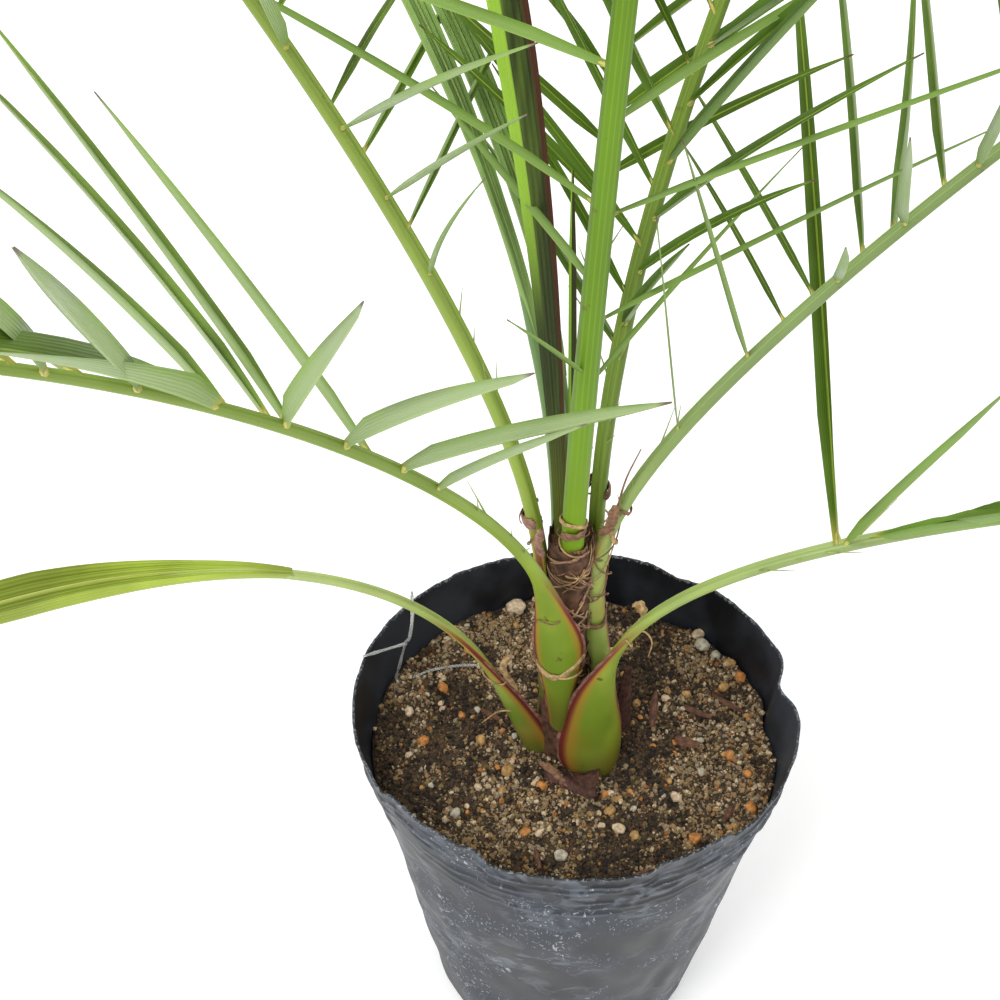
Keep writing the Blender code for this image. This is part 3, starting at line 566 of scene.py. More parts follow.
def stalk_finish(tone):
    """Smooth yellow-green skin, ochre and blotched by the soil, maroon along the sheath's edge, with
    painted shade as dark green blotches at the foot and along the petiole's flanks.
    """
    low, high = STALK_TONES[tone]
    skin = Finish(f"stalk_{tone}", 0.38, Specular_IOR_Level=0.22)
    along, turn = skin.value("along"), skin.value("across")
    across = skin.math("ABSOLUTE", turn)
    fine = skin.noise(60, 4, (1, 1, 0.16))
    petiole = skin.between(along, 0.08, 0.16)
    sheath = skin.between(along, 0.055, 0.085, 1, 0)
    skin.base(skin.between(along, 0, 0.16), low, high)
    skin.coat(tint(high, 0.62), skin.between(fine, 0.35, 0.65, 0, 0.35))
    skin.coat((0.42, 0.24, 0.035), skin.between(skin.noise(42), 0.5, 0.72),
              skin.between(along, 0, 0.09, 0.75, 0))
    skin.coat(tint(high, 1.7), skin.between(skin.wave(turn, 15.0), 0.2, 1, 0, 0.3), petiole)
    # painted shade: both flanks of the petiole are darkened
    skin.coat(tint(high, 0.5), skin.between(across, 0.55, 0.95, 0, 0.45), petiole)
    # painted shade: dark green blotches, strongest at the stalk's foot and faint above
    skin.coat((0.105, 0.185, 0.014), skin.between(skin.noise(30, 2), 0.42, 0.62),
              skin.between(along, 0.02, 0.1, 0.72, 0.12))
    skin.coat((0.125, 0.13, 0.018), skin.between(along, 0, 0.026, 0.85, 0))
    skin.coat((0.4, 0.19, 0.03), skin.between(across, 0.58, 0.9, 0, 0.75), sheath)
    skin.coat((0.15, 0.022, 0.02), skin.between(across, 0.84, 0.97), sheath)
    skin.coat((0.1, 0.05, 0.02), skin.between(skin.noise(210, 2), 0.7, 0.76),
              skin.between(along, 0.02, 0.3, 0.8, 0.25))
    skin.set("Roughness", skin.between(fine, 0.3, 0.7, 0.3, 0.46))
    skin.bump(fine, 0.18, 0.0003)
    return skin.material


def spear_finish():
    """Dark green ribs with red-brown edges and one bright strip of new leaf."""
    skin = Finish("spear", 0.44, Specular_IOR_Level=0.2)
    across, along = skin.value("across"), skin.value("along")
    streak = skin.noise(90, 3, (1, 1, 0.03))
    skin.base(skin.between(streak, 0.4, 0.6), (0.026, 0.038, 0.006), (0.12, 0.19, 0.022))
    skin.coat((0.3, 0.5, 0.045), skin.between(across, 0.3, 0.4), skin.between(along, 0.26, 0.38))
    skin.coat((0.085, 0.024, 0.01), skin.between(across, -0.8, -0.62, 0.9, 0))
    skin.coat((0.23, 0.26, 0.04), skin.between(along, 0.05, 0.24, 0.75, 0))
    skin.bump(streak, 0.3, 0.0003)
    return skin.material


def film_finish():
    """Black film with a blue-grey cast, a slight sheen, pale scuffs and dried mineral marks, with a painted
    highlight along the crease crests and inside the rim where it folds outwards.
    """
    skin = Finish("pot_film", 0.46, Specular_IOR_Level=0.36)
    outer = skin.value("outer")
    cloud = skin.noise(34, 5)
    wide = skin.noise(15, 3, (1, 1, 1.6))
    scratch = skin.noise(420, 4, (1, 1, 0.7), 2.2)
    bloom = skin.times(skin.between(skin.noise(120, 5, (1, 1, 1.4), 0.8), 0.46, 0.64),
                       skin.between(wide, 0.4, 0.6), outer)
    crest = skin.between(skin.value("crest"), 0.3, 0.85)
    marked = skin.math("MAXIMUM", skin.between(cloud, 0.46, 0.62), crest)
    skin.base(skin.between(cloud, 0.36, 0.64), (0.006, 0.007, 0.01), (0.03, 0.035, 0.046))
    skin.coat((0.13, 0.148, 0.178), bloom, 0.6)
    # painted highlight on the inside of the rim where it folds outwards
    skin.coat((0.052, 0.06, 0.078), skin.value("lobe"))
    # painted highlight: the crease crests are lightened as if they catch the light
    skin.coat((0.15, 0.17, 0.2), crest, 0.5)
    skin.coat((0.44, 0.46, 0.48), skin.between(scratch, 0.6, 0.68), marked, outer, 0.8)
    skin.coat((0.3, 0.32, 0.34), skin.value("rim"), skin.between(scratch, 0.5, 0.62), 0.6)
    skin.set("Roughness", skin.between(cloud, 0.3, 0.7, 0.38, 0.6))
    skin.bump(bloom, 0.35, 0.0004)
    return skin.material


def plain_finish(name, colour, roughness, scale=300, shade=0.6, depth=0.0003):
    """A colour broken up by fine noise, with matching relief."""
    skin = Finish(name, roughness)
    grain = skin.noise(scale, 4)
    skin.base(skin.between(grain, 0.3, 0.7), tint(colour, shade), tint(colour, 1.25))
    skin.bump(grain, 0.5, depth)
    return skin.material


def strand_finish():
    skin = Finish("strand", 0.25, Transmission_Weight=0.75, IOR=1.4)
    skin.base(skin.between(skin.noise(160), 0.3, 0.7), (0.8, 0.82, 0.82), (0.95, 0.95, 0.94))
    return skin.material


# ---- growth rule, as in the solids --------------------------------------------------------
def ease(low, high, value):
    share = np.clip((value - low) / (high - low), 0.0, 1.0)
    return share * share * (3 - 2 * share)


def lift_angle(frond, distance):
    bent = frond.settled + (frond.start - frond.settled) / (1 + (distance / frond.bend) ** 3)
    return bent - frond.droop * (distance / frond.length) ** 2


def directions(elevation, heading):
    """Along a stalk, to its left and up from it, for angles in degrees."""
    lift, turn = math.radians(elevation), math.radians(heading)
    along = ring(turn, math.cos(lift), math.sin(lift))
    left = np.array([-math.sin(turn), math.cos(turn), 0.0])
    return along, left, np.cross(along, left)


def route(frond):
    """Points every PATH_STEP along a frond, with along, left and upper directions."""
    azimuth = frond.foot[0]
    point = above_soil(*frond.foot)
    face, turn_start, turn_end = frond.face or (azimuth, 0, frond.sheath_length)
    points, frames = [], []
    for number in range(round(frond.length / PATH_STEP) + 1):
        distance = number * PATH_STEP
        lift = lift_angle(frond, distance)
        sway = ease(turn_start, turn_end, distance)
        heading = face + math.remainder(frond.heading - face, 360) * sway
        points.append(point)
        frames.append(directions(lift, heading))
        point = point + directions(lift, frond.heading)[0] * PATH_STEP
    return np.array(points), np.array(frames)


def place(path, distance):
    """The rib's point and directions at one distance or at many."""
    points, frames = path
    spot = np.clip(np.asarray(distance) / PATH_STEP, 0, len(points) - 1.001)
    number = spot.astype(int)
    share = np.expand_dims(spot - number, -1)
    point = points[number] * (1 - share) + points[number + 1] * share
    share = np.expand_dims(share, -1)
    return point, unit(frames[number] * (1 - share) + frames[number + 1] * share)


def stalk_size(frond, distance):
    """Width, thickness and cup of the sheath and petiole, then of the rib."""
    share = ease(0, frond.sheath_length, distance)
    width = frond.sheath[0] + (frond.petiole[0] - frond.sheath[0]) * share
    if frond.girth:
        spots, widths = zip(*frond.girth)
        width = np.interp(distance, spots, widths)
    thick = frond.sheath[1] + (frond.petiole[1] - frond.sheath[1]) * share
    fade = frond.length - frond.first if frond.kind == "pinnate" else STRAP_RIB
    on = np.clip((distance - frond.first) / fade, 0, 1)
    width = width * (1 - on) + RIB_TIP[0] * on
    thick = thick * (1 - on) + RIB_TIP[1] * on
    flat = ease(frond.sheath_length * 0.35, frond.sheath_length, distance)
    return width, thick, SHEATH_CUP * (1 - flat)


def stalk_skin(frond, path, distance, turn, proud=0.0):
    """Points on a stalk's skin: distances along it and turns round it, 3/2 pi facing outwards."""
    point, turned = place(path, distance)
    left, upper = turned[..., 1, :], turned[..., 2, :]
    width, thick, cup = stalk_size(frond, distance)
    across = np.cos(turn)
    body = np.sin(turn)
    body = np.where(body > 0, body * (1 - 0.55 * np.exp(-(across / 0.38) ** 2)), body * 1.12)
    lens = np.abs(np.sin(turn)) ** 0.4 * np.sign(np.sin(turn))
    sheathed = 0.3 * cup / SHEATH_CUP
    shape = body * (1 - sheathed) + sheathed * lens * np.abs(body)
    off = (thick / 2 + proud) * shape + cup * width * (across ** 2 - 0.42) * 1.3
    return point + left * ((width / 2 + proud) * across)[..., None] + upper * off[..., None]


def make_stalk(frond, path, material):
    """Sheath, petiole and rib as one skin, cupped at the foot and channelled above."""
    end = frond.length if frond.kind == "pinnate" else frond.first + STRAP_RIB
    distance = np.concatenate([[0], np.linspace(0, end, 90)])
    turn = turns_round(STALK_SIDES)
    rings = stalk_skin(frond, path, distance[:, None], turn)
    middle = rings[0].mean(0)
    rings[0] = middle + (rings[0] - middle) * 0.86 - (0, 0, 0.005)
    ring_piece(f"petiole_{frond.name}", material, "petiole", rings, [f"stalk_{frond.name}"],
               along=distance, across=np.cos(turn)[None])


def leaflet_plan(frond):
    """The source's rule at half its pitch, after the lowest leaflets, which are listed one by one."""
    plan = list(frond.early)
    start = frond.first + 0.006
    if frond.early:
        start = max(entry[0] for entry in frond.early) + 0.01
    rows = 2 * int((frond.length - frond.first - 0.02) / frond.pitch)
    for row in range(rows + 1):
        for side in (1, -1):
            draw = random.Random(f"{frond.name} {row} {side} fine")
            share = (row + (0.45 if side < 0 else 0)) / (rows + 0.5)
            distance = frond.first + 0.006 + share * (frond.length - frond.first - 0.012)
            if distance < start:
                continue
            size = frond.leaf * (0.45 + 0.55 * ease(0, 0.25, share)) * (1 - 0.45 * share ** 2)
            spread = frond.spread[0] + (frond.spread[1] - frond.spread[0]) * share
            lift = frond.lift[0 if side > 0 else 1] * (1 - 0.4 * share)
            plan.append((distance, side, spread + draw.uniform(-6, 6),
                         lift + draw.uniform(-10, 10), size * draw.uniform(0.9, 1.06),
                         draw.uniform(2, 13), frond.leaf_width * draw.uniform(0.85, 1.1)))
    return plan


def leaflet_line(path, distance, side, spread, lift, size, sag, sway=0.0):
    """A leaflet's points from the rib to its tip, and the rib's direction at its root."""
    point, (along, left, upper) = place(path, distance)
    out, rise = math.radians(spread), math.radians(lift)
    aim = along * math.cos(out)
    aim = aim + (left * (side * math.cos(rise)) + upper * math.sin(rise)) * math.sin(out)
    level = max(1e-4, math.hypot(aim[0], aim[1]))
    line = [point]
    for number in range(LEAF_STATIONS - 1):
        share = (number + 0.5) / (LEAF_STATIONS - 1)
        rise = math.atan2(aim[2], level) - math.radians(sag) * share * min(1.0, 1.6 * level)
        turn = math.atan2(aim[1], aim[0]) + math.radians(sway) * (2 * share - 1)
        step = ring(turn, math.cos(rise), math.sin(rise))
        line.append(line[-1] + step * (size / (LEAF_STATIONS - 1)))
    return np.array(line), along


def add_leaflet(batch, line, along, width, draw, shade):
    """A stiff blade folded along its midrib, with a narrow root and a needle point."""
    ahead = tangents(line)
    across = unit(along - ahead * (ahead @ along)[:, None])
    keel = np.cross(across, ahead)
    if keel[0, 2] < 0:
        keel = -keel
        across = -across
    share = np.linspace(0, 1, len(line))
    roll = math.radians(draw.uniform(-22, 22)) + math.radians(draw.uniform(-48, 48)) * share
    cos, sin = np.cos(roll)[:, None], np.sin(roll)[:, None]
    across, keel = across * cos + keel * sin, keel * cos - across * sin
    half = width / 2 * (0.36 + 0.64 * ease(0, 0.16, share)) * (1 - share ** 2.1) ** 0.8
    half = np.maximum(half, 0.00022)
    fold = np.radians(56 - 22 * share) * draw.uniform(0.85, 1.1)
    thick = np.minimum(0.00055, half * 0.5)
    spots = ((-1, 0), (-0.5, 0.06), (0, 0), (0.5, 0.06), (1, 0), (0.5, -1), (0, -1.7), (-0.5, -1))
    rings = []
    for wide, deep in spots:
        out = wide * half * np.cos(fold)
        rise = abs(wide) * half * np.sin(fold) + deep * (thick if deep < 0 else half)
        rings.append(line + across * out[:, None] + keel * rise[:, None])
    rings = np.stack(rings, 1)
    under = np.array([0, 0, 0, 0, 0, 1, 1, 1.0])
    wide = np.array([spot[0] for spot in spots])
    add_rings(batch, rings, along=share, across=wide[None], under=under[None],
              shade=np.full_like(share, shade))


class Room:
    """Keeps leaflets of one frond clear of the other fronds' ribs and leaflets."""

    def __init__(self):
        self.lines = []

    def add(self, owner, line):
        self.lines.append((owner, line))

    def is_free(self, owner, line, clearance):
        others = [spots for name, spots in self.lines if name != owner]
        gaps = np.linalg.norm(np.concatenate(others)[None] - line[2:, None], axis=-1)
        return gaps.min() > clearance


def fine_line(line, step=0.004):
    """Points closer together along a line, for the test of clearance."""
    out = []
    for start, end in zip(line[:-1], line[1:]):
        count = max(1, int(np.linalg.norm(end - start) / step))
        out.extend(start + (end - start) * number / count for number in range(count))
    return np.array(out)


def add_joint(batch, line, width):
    """The yellow swelling at a leaflet's root."""
    out = unit(line[1] - line[0])
    foot = line[0] + out * 0.0004
    knot = [foot + out * ahead for ahead in (-0.001, 0, 0.0022, 0.0042)]
    swell = min(0.001, 0.0004 + width * 0.085)
    add_tube(batch, knot, np.array([0.5, 1.0, 1.0, 0.45]) * swell, 7)


def make_pinnate(frond, path, room, leaf, joint, spine):
    """Leaflets with their joints, and short spines below the first leaflets."""
    blades = Batch("along", "across", "under", "shade")
    roots = Batch()
    spines = Batch("along")
    for number, entry in enumerate(leaflet_plan(frond)):
        distance, side, spread, lift, size, sag, width = entry
        draw = random.Random(f"{frond.name} blade {number}")
        by_hand = number < len(frond.early)
        sway = draw.uniform(-4, 4)
        for turn in (0,) if by_hand else (0, 8, -8, 16, -16, 26, -26):
            line, along = leaflet_line(path, distance, side, spread, lift + turn, size, sag, sway)
            if by_hand or room.is_free(frond.name, line, LEAF_CLEARANCE):
                shade = random.Random(f"{frond.name} shade {number}").random() ** 1.5
                add_leaflet(blades, line, along, width, draw, shade)
                room.add(frond.name, fine_line(line))
                add_joint(roots, line, width)
                break
    for number in range(SPINES):
        draw = random.Random(f"{frond.name} spine {number}")
        distance = frond.first - 0.03 + number * 0.01 + draw.uniform(-0.003, 0.003)
        line, along = leaflet_line(path, distance, draw.choice((1, -1)), draw.uniform(18, 40),
                                   draw.uniform(15, 50), draw.uniform(0.006, 0.022), 0)
        add_tube(spines, line, np.linspace(0.00042, 0.00008, len(line)), 5,
                 along=np.linspace(0, 1, len(line)))
    blades.build(f"leaflets_{frond.name}", leaf, "leaf", [f"blade_{frond.name}"], 50)
    roots.build(f"leaf_joints_{frond.name}", joint, "petiole", angle=180)
    spines.build(f"spines_{frond.name}", spine, "petiole", angle=180)


def make_strap(frond, path, room, leaf):
    """An undivided blade with sharp pleats, which narrows to its tip."""
    pleats = 5
    share = np.linspace(0, 1, 60)[:, None]
    point, turned = place(path, frond.first + (frond.length - frond.first) * share[:, 0])
    left, upper = turned[:, 1], turned[:, 2]
    half = 0.0014 + (frond.leaf - 0.0014) * np.minimum(1, share / 0.36)
    half = half * (1 - 0.9 * ease(0.55, 1, share))
    fold = 0.18 * frond.leaf * ease(0, 0.3, share) * (1 - ease(0.85, 1, share))
    thick = 0.00035 + 0.0008 * (1 - ease(0, 0.2, share))
    upper_side, lower_side, wide = [], [], []
    for pleat in range(4 * pleats + 1):
        across = 1 - pleat / (2 * pleats)
        ridge = fold * (1 - abs((pleat % 4) - 2)) + 0.32 * half * across * across
        middle = point + left * (half * across) + upper * ridge
        upper_side.append(middle + upper * thick)
        lower_side.append(middle - upper * thick)
        wide.append(across)
    spread = np.array(wide + wide[::-1])
    under = np.repeat([0.0, 1.0], len(wide))
    ring_piece(f"strap_{frond.name}", leaf, "leaf", np.stack(upper_side + lower_side[::-1], 1),
               [f"blade_{frond.name}"], 25, along=0.05 + 0.95 * share[:, 0],
               across=spread[None] * 2.6, under=under[None])
    room.add(frond.name, point)


def make_spear(name, heading, foot, elevation, bow, length, widths, material):
    """Folded leaflets lying together: a ribbed rod with a bright edge."""
    point = above_soil(*foot)
    steps = round(length / PATH_STEP)
    share = np.linspace(0, 1, steps + 1)
    ahead = np.array([directions(elevation - bow * s * s, heading)[0] for s in share])
    moves = np.concatenate([[point], ahead[:-1] * (length / steps)])
    line = np.cumsum(moves, axis=0)
    side = unit(np.cross(ahead, (0.0, 1.0, 0.0)))
    front = np.cross(side, ahead)
    width = np.interp(share, *zip(*widths))[:, None, None]
    angle = turns_round(72)[:, None]
    ridge = 1 + 0.055 * np.cos(SPEAR_RIBS * angle)
    across, deep = np.cos(angle) * ridge, np.sin(angle) * ridge * 0.62
    rings = line[:, None] + width / 2 * (side[:, None] * across + front[:, None] * deep)
    ring_piece(name + "_folded", material, "spear", rings, [name], 30, across=np.cos(angle).T,
               along=share)


# ---- pot and soil -------------------------------------------------------------------------
def wall_radius(azimuth, height):
    cone = POT_FOOT_RADIUS + (POT_RIM_RADIUS - POT_FOOT_RADIUS) * height / POT_HEIGHT
    slack = ease(POT_HEIGHT - RIM_SLACK, POT_HEIGHT, height)
    reach = cone + slack * RIM_OVAL * math.cos(2 * azimuth)
    for fold, depth, width in RIM_FOLDS:
        turn = math.remainder(math.degrees(azimuth) - fold, 360)
        reach -= slack * depth * math.exp(-(turn / width) ** 2)
    return reach


def rim_rise(azimuth):
    """Height of the torn rim above its mean level."""
    rise = 0.0
    for centre, height, reach, softness in RIM_LIFTS:
        turn = abs(math.remainder(math.degrees(azimuth) - centre, 360))
        rise += height * float(1 - ease(reach, reach + softness, turn))
    return rise + 0.0006 * rough_round(azimuth, 14, 5) + 0.00045 * rough_round(azimuth, 60, 9)


def wall_relief(azimuth, height):
    """Broken horizontal creases under the rim, on the outside only."""
    depth = POT_HEIGHT - height + 0.0011 * rough_round(azimuth, 2.2, 1)
    relief = 0.0
    for number, level in enumerate(CREASES):
        strength = 0.45 + 1.7 * rough_round(azimuth, 4.6, 7 + number)
        gap = (depth - level + 0.001 * rough_round(azimuth, 5, 20 + number)) / CREASE_WIDTH
        relief += CREASE_RISE * min(1.2, max(0.0, strength)) * math.exp(-gap * gap)
    return relief


def wall_bulge(azimuth, height):
    """Soft bulges and dents of the slack film, with none at the foot."""
    low = float(ease(0.018, 0.05, POT_HEIGHT - height))
    bulge = 0.0017 * low * rough_round(azimuth, 2.4, height * 26)
    bulge += 0.0008 * low * rough_round(azimuth, 7, height * 60)
    bulge += 0.0004 * (1 - low) * rough_round(azimuth, 9, height * 40)
    return bulge * float(ease(0, 0.012, height))


def make_pot(material):
    """Wall, torn rim and floor as one film, with the drain holes cut through the floor."""
    turns = turns_round(360)
    creased = POT_HEIGHT - 0.03         # the wall has finer steps above this level
    levels = np.concatenate([np.linspace(POT_FOOT_ROUND, creased, 35),
                             creased + 0.0006 * np.arange(1, 50)])
    wall = np.array([[wall_radius(turn, level) + wall_bulge(turn, level) for turn in turns]
                     for level in levels])
    relief = np.array([[wall_relief(turn, level) for turn in turns] for level in levels])
    rise = np.array([rim_rise(turn) for turn in turns])
    height = levels[:, None] + rise * ease(creased, POT_HEIGHT, levels)[:, None]
    foot = POT_FOOT_RADIUS - POT_FOOT_ROUND
    under = [ring(turns, radius, 0.0) for radius in (0.02, foot)]
    for angle in (60, 30):
        tilt = math.radians(angle)
        under.append(ring(turns, foot + POT_FOOT_ROUND * math.cos(tilt),
                          POT_FOOT_ROUND * (1 - math.sin(tilt))))
    inside = [ring(turns, POT_FOOT_RADIUS - FILM, POT_FOOT_ROUND), ring(turns, 0.046, FILM),
              ring(turns, 0.02, FILM)]
    rings = np.concatenate([under, ring(turns, wall + relief, height),
                            ring(turns, wall - FILM, height)[::-1], inside])
    low, top, end = len(under), len(under) + len(levels), len(under) + 2 * len(levels)
    outside, rim = np.zeros((2, len(rings)))
    outside[:top] = 1
    rim[top - 2:top + 2] = 1
    crest, lobe = np.zeros((2, *rings.shape[:2]))
    # crease height, which drives a painted highlight on the crests and the wear there
    crest[low:top] = relief / 0.001
    turned = (np.degrees(turns) + 180) % 360 - 180
    high = ease(POT_HEIGHT - 0.04, POT_HEIGHT - 0.004, rings[top:end, 0, 2])
    # where the inner wall near the rim gets a painted highlight
    lobe[top:end] = np.exp(-((turned - LOBE) / 10) ** 2) * high[:, None]
    cut_drains(ring_piece("pot_of_film", material, "pot_film", rings, ["pot"], 180,
                          [[0, 0, 0], [0, 0, FILM]], outer=outside, rim=rim, crest=crest,
                          lobe=lobe))


def cut_drains(pot):
    """Cuts the round holes through the pot's floor."""
    work = bmesh.new()
    for hole in range(DRAIN_HOLES):
        angle = 2 * math.pi * (hole + 0.3) / DRAIN_HOLES
        bmesh.ops.create_cone(work, cap_ends=True, segments=32, radius1=DRAIN_RADIUS,
                              radius2=DRAIN_RADIUS, depth=0.006,
                              matrix=Matrix.Translation(ring(angle, DRAIN_RING, 0.0)))
    mesh = bpy.data.meshes.new("drains")
    work.to_mesh(mesh)
    work.free()
    drains = bpy.data.objects.new("drains", mesh)
    bpy.context.scene.collection.objects.link(drains)
    cut = pot.modifiers.new("drains", "BOOLEAN")
    cut.operation = "DIFFERENCE"
    cut.object = drains
    cut.solver = "MANIFOLD"
    graph = bpy.context.evaluated_depsgraph_get()
    pot_mesh = bpy.data.meshes.new_from_object(pot.evaluated_get(graph))
    pot.modifiers.clear()
    pot.data = pot_mesh
    bpy.data.objects.remove(drains)


def soil_height(x, y):
    loose = float(ease(SOIL_FLAT_RADIUS, SOIL_FLAT_RADIUS + 0.012, math.hypot(x, y)))
    height = SOIL_LEVEL + loose * SOIL_ROUGHNESS * rough(x * 62, y * 62, 3.1)
    height += 0.0014 * loose * rough(x * 150, y * 150, 6.2)
    return height + 0.0006 * rough(x * 330, y * 330, 0.4)


def soil_reach(azimuth):
    return wall_radius(azimuth, SOIL_LEVEL) - FILM - 0.0006


def make_soil_bed(material):
    """The dark bed between the grains, and the earth below it down to the pot's floor."""
    rows, turns = 70, turns_round(240)
    rings = []
    for height in (FILM + 0.0004, POT_FOOT_ROUND + 0.003, 0.04, 0.075, 0.105, SOIL_LEVEL - 0.006):
        inset = FILM + 0.0018 + (POT_FOOT_ROUND if height < POT_FOOT_ROUND else 0)
        rings.append(ring(turns, [wall_radius(turn, height) - inset for turn in turns], height))
    reach = np.array([soil_reach(turn) for turn in turns])
    for row in range(rows):
        level = ring(turns, reach * (1 - row / rows), 0.0)
        level[:, 2] = [soil_height(x, y) for x, y, flat in level]
        rings.append(level)
    ring_piece("soil_bed", material, "soil", rings, ["soil"], 180,
               [[0, 0, FILM + 0.0004], [0, 0, SOIL_LEVEL]])


def icosahedron():
    """Corners and faces of the ball of 20 triangles that each grain is made from."""
    golden = (1 + 5 ** 0.5) / 2
    hull = bmesh.new()
    for one in (-1, 1):
        for two in (-golden, golden):
            for corner in ((0, one, two), (one, two, 0), (two, 0, one)):
                hull.verts.new(Vector(corner).normalized())
    hull.verts.index_update()
    bmesh.ops.convex_hull(hull, input=hull.verts[:])
    return mesh_arrays(hull)


GRAIN_COLOURS = (       # name, colour, share, liking for the high spots
    ("dark", (0.02, 0.012, 0.007), 0.24, -2.0), ("umber", (0.095, 0.05, 0.022), 0.21, -0.8),
    ("sand", (0.31, 0.195, 0.09), 0.22, 1.2), ("grey", (0.29, 0.22, 0.14), 0.12, 1.2),
    ("pale", (0.56, 0.43, 0.27), 0.08, 1.8), ("olive", (0.17, 0.12, 0.045), 0.1, 0.0),
    ("rust", (0.36, 0.15, 0.038), 0.03, 0.5),
)


def make_grains():
    """Sand and grit in clumps: thousands of small stones, a piece for each colour."""
    corners, faces = icosahedron()
    draw = np.random.default_rng(41)
    for name, colour, share, liking in GRAIN_COLOURS:
        batch = Batch()
        for number in range(int(GRAINS * share)):
            for attempt in range(6):
                azimuth = draw.uniform(-math.pi, math.pi)
                radius = (soil_reach(azimuth) - 0.0006) * math.sqrt(draw.uniform())
                x, y = radius * math.cos(azimuth), radius * math.sin(azimuth)
                clump = rough(x * 150, y * 150, 6.2) + 0.7 * rough(x * 62, y * 62, 3.1)
                clump += 0.8 * rough(x * 27, y * 27, 8.8)
                if draw.uniform() < 0.5 + liking * clump:
                    break
            size = 0.00036 + 0.00085 * draw.uniform() ** 3.0
            spread = draw.uniform(0.65, 1.25, 3) * size
            bumpy = corners * draw.uniform(0.62, 1.26, (12, 1)) * spread
            turn = Matrix.Rotation(draw.uniform(0, 6.3), 3, Vector(draw.normal(size=3)))
            height = soil_height(x, y) + size * draw.uniform(-0.3, 0.75)
            batch.add(bumpy @ np.array(turn) + (x, y, height), [faces])
        material = plain_finish(f"grain_{name}", colour, 0.85, 1400, 0.55)
        batch.build(f"grains_{name}", material, "soil", angle=30)


PEBBLE_COLOURS = {
    "cream": (0.62, 0.47, 0.31), "ochre": (0.42, 0.24, 0.08), "orange": (0.5, 0.2, 0.045),
    "grey": (0.46, 0.41, 0.31),
}


def make_pebbles():
    """Rounded stones, larger ones where they show and small ones strewn about."""
    work = bmesh.new()
    bmesh.ops.create_icosphere(work, subdivisions=3, radius=1)
    ball, faces = mesh_arrays(work)
    draw = random.Random(7)
    stones = list(PEBBLES)
    while len(stones) < PEBBLE_COUNT:
        azimuth = draw.uniform(-math.pi, math.pi)
        radius = draw.uniform(0.02, soil_reach(azimuth) - 0.003)
        stones.append((radius * math.cos(azimuth), radius * math.sin(azimuth),
                       draw.uniform(0.0018, 0.0036),
                       draw.choice(("cream", "ochre", "orange", "grey", "orange"))))
    batches = {name: Batch() for name in PEBBLE_COLOURS}
    for number, (x, y, size, colour) in enumerate(stones):
        offset = Vector((number * 3.7, 1.3, 0.0))
        bumps = np.array([1 + 0.24 * rough(*(Vector(p) * 1.5 + offset))
                          + 0.1 * rough(*(Vector(p) * 3.6 + offset)) for p in ball])
        shape = ball * bumps[:, None] * (size / 2 * np.array([1.0, 0.8, 0.66]))
        turn = np.array(Matrix.Rotation(number * 1.9, 3, "Z") @ Matrix.Rotation(0.3, 3, "X"))
        batches[colour].add(shape @ turn.T + (x, y, soil_height(x, y) + size * 0.14), [faces])
    for name, batch in batches.items():
        material = plain_finish(f"pebble_{name}", PEBBLE_COLOURS[name], 0.7, 700, 0.62)
        batch.build(f"pebbles_{name}", material, "soil", angle=60)


BARK = (        # x, y, azimuth, length, width
    (0.041, -0.002, -25, 0.009, 0.005), (0.058, 0.016, -40, 0.014, 0.0026), (0.03, 0.012, 80, 0.016, 0.003),
    (0.046, 0.012, -30, 0.012, 0.0032), (-0.03, 0.01, 150, 0.008, 0.0024),
    (0.02, -0.058, 20, 0.007, 0.0022), (-0.014, -0.052, 100, 0.008, 0.002),
    (0.052, -0.034, 60, 0.007, 0.0024),
)


def make_bark(material):
    """Flat splinters of bark lying on the soil."""
    batch = Batch()
    corners = ((1, 0), (0.4, 1), (-0.5, 1), (-1, 0), (-0.4, -1), (0.5, -1))
    for number, (x, y, azimuth, length, width) in enumerate(BARK):
        draw = random.Random(f"bark {number}")
        along = ring(math.radians(azimuth), 1.0, 0.1)
        left = np.array([-along[1], along[0], 0.0])
        rings = []
        for share in np.linspace(0, 1, 9):
            swell = 0.35 + 0.65 * math.sin(math.pi * (0.12 + 0.8 * share))
            half = width / 2 * swell * draw.uniform(0.85, 1.1)
            centre = np.array([x, y, 0]) + along * (length * (share - 0.5))
            centre[2] = soil_height(x, y) + 0.0011 + 0.0008 * share
            deep = 0.0007 * draw.uniform(0.8, 1.2)
            rings.append([centre + left * (half * wide) + (0, 0, deep * high)
                          for wide, high in corners])
        add_rings(batch, np.array(rings))
    batch.build("bark_chips", material, "soil", angle=35)


# ---- leaf bases: core, papery edges and fibres ----------------------------------------------
def make_core(material):
    """The short stem inside the leaf bases, rough with torn sheath fibre."""
    turns = turns_round(64)
    rings = []
    for share in np.linspace(0, 1, 40):
        radius = [0.0098 * (1 - share) + 0.0042 * share + 0.0016 * rough_round(turn, 3, share * 9)
                  for turn in turns]
        rings.append(ring(turns, radius, SOIL_LEVEL - 0.004 + 0.062 * share))
    ring_piece("stem_core", material, "leaf_base", rings, ["stem"])


def sleeve_point(turn, height, proud=0.0):
    """A point of the fibrous sleeve round the inner stalks, narrower towards the right frond."""
    share = (height - SOIL_LEVEL) / (SLEEVE_TOP - SOIL_LEVEL)
    wide = (0.01 if math.cos(turn) < 0 else 0.0068) - 0.0016 * share
    deep = 0.0112 - 0.0024 * share
    proud += 0.0007 * rough_round(turn, 4, height * 70)
    return (-0.0029 + (wide + proud) * math.cos(turn),
            0.0004 + (deep + proud) * math.sin(turn), height)


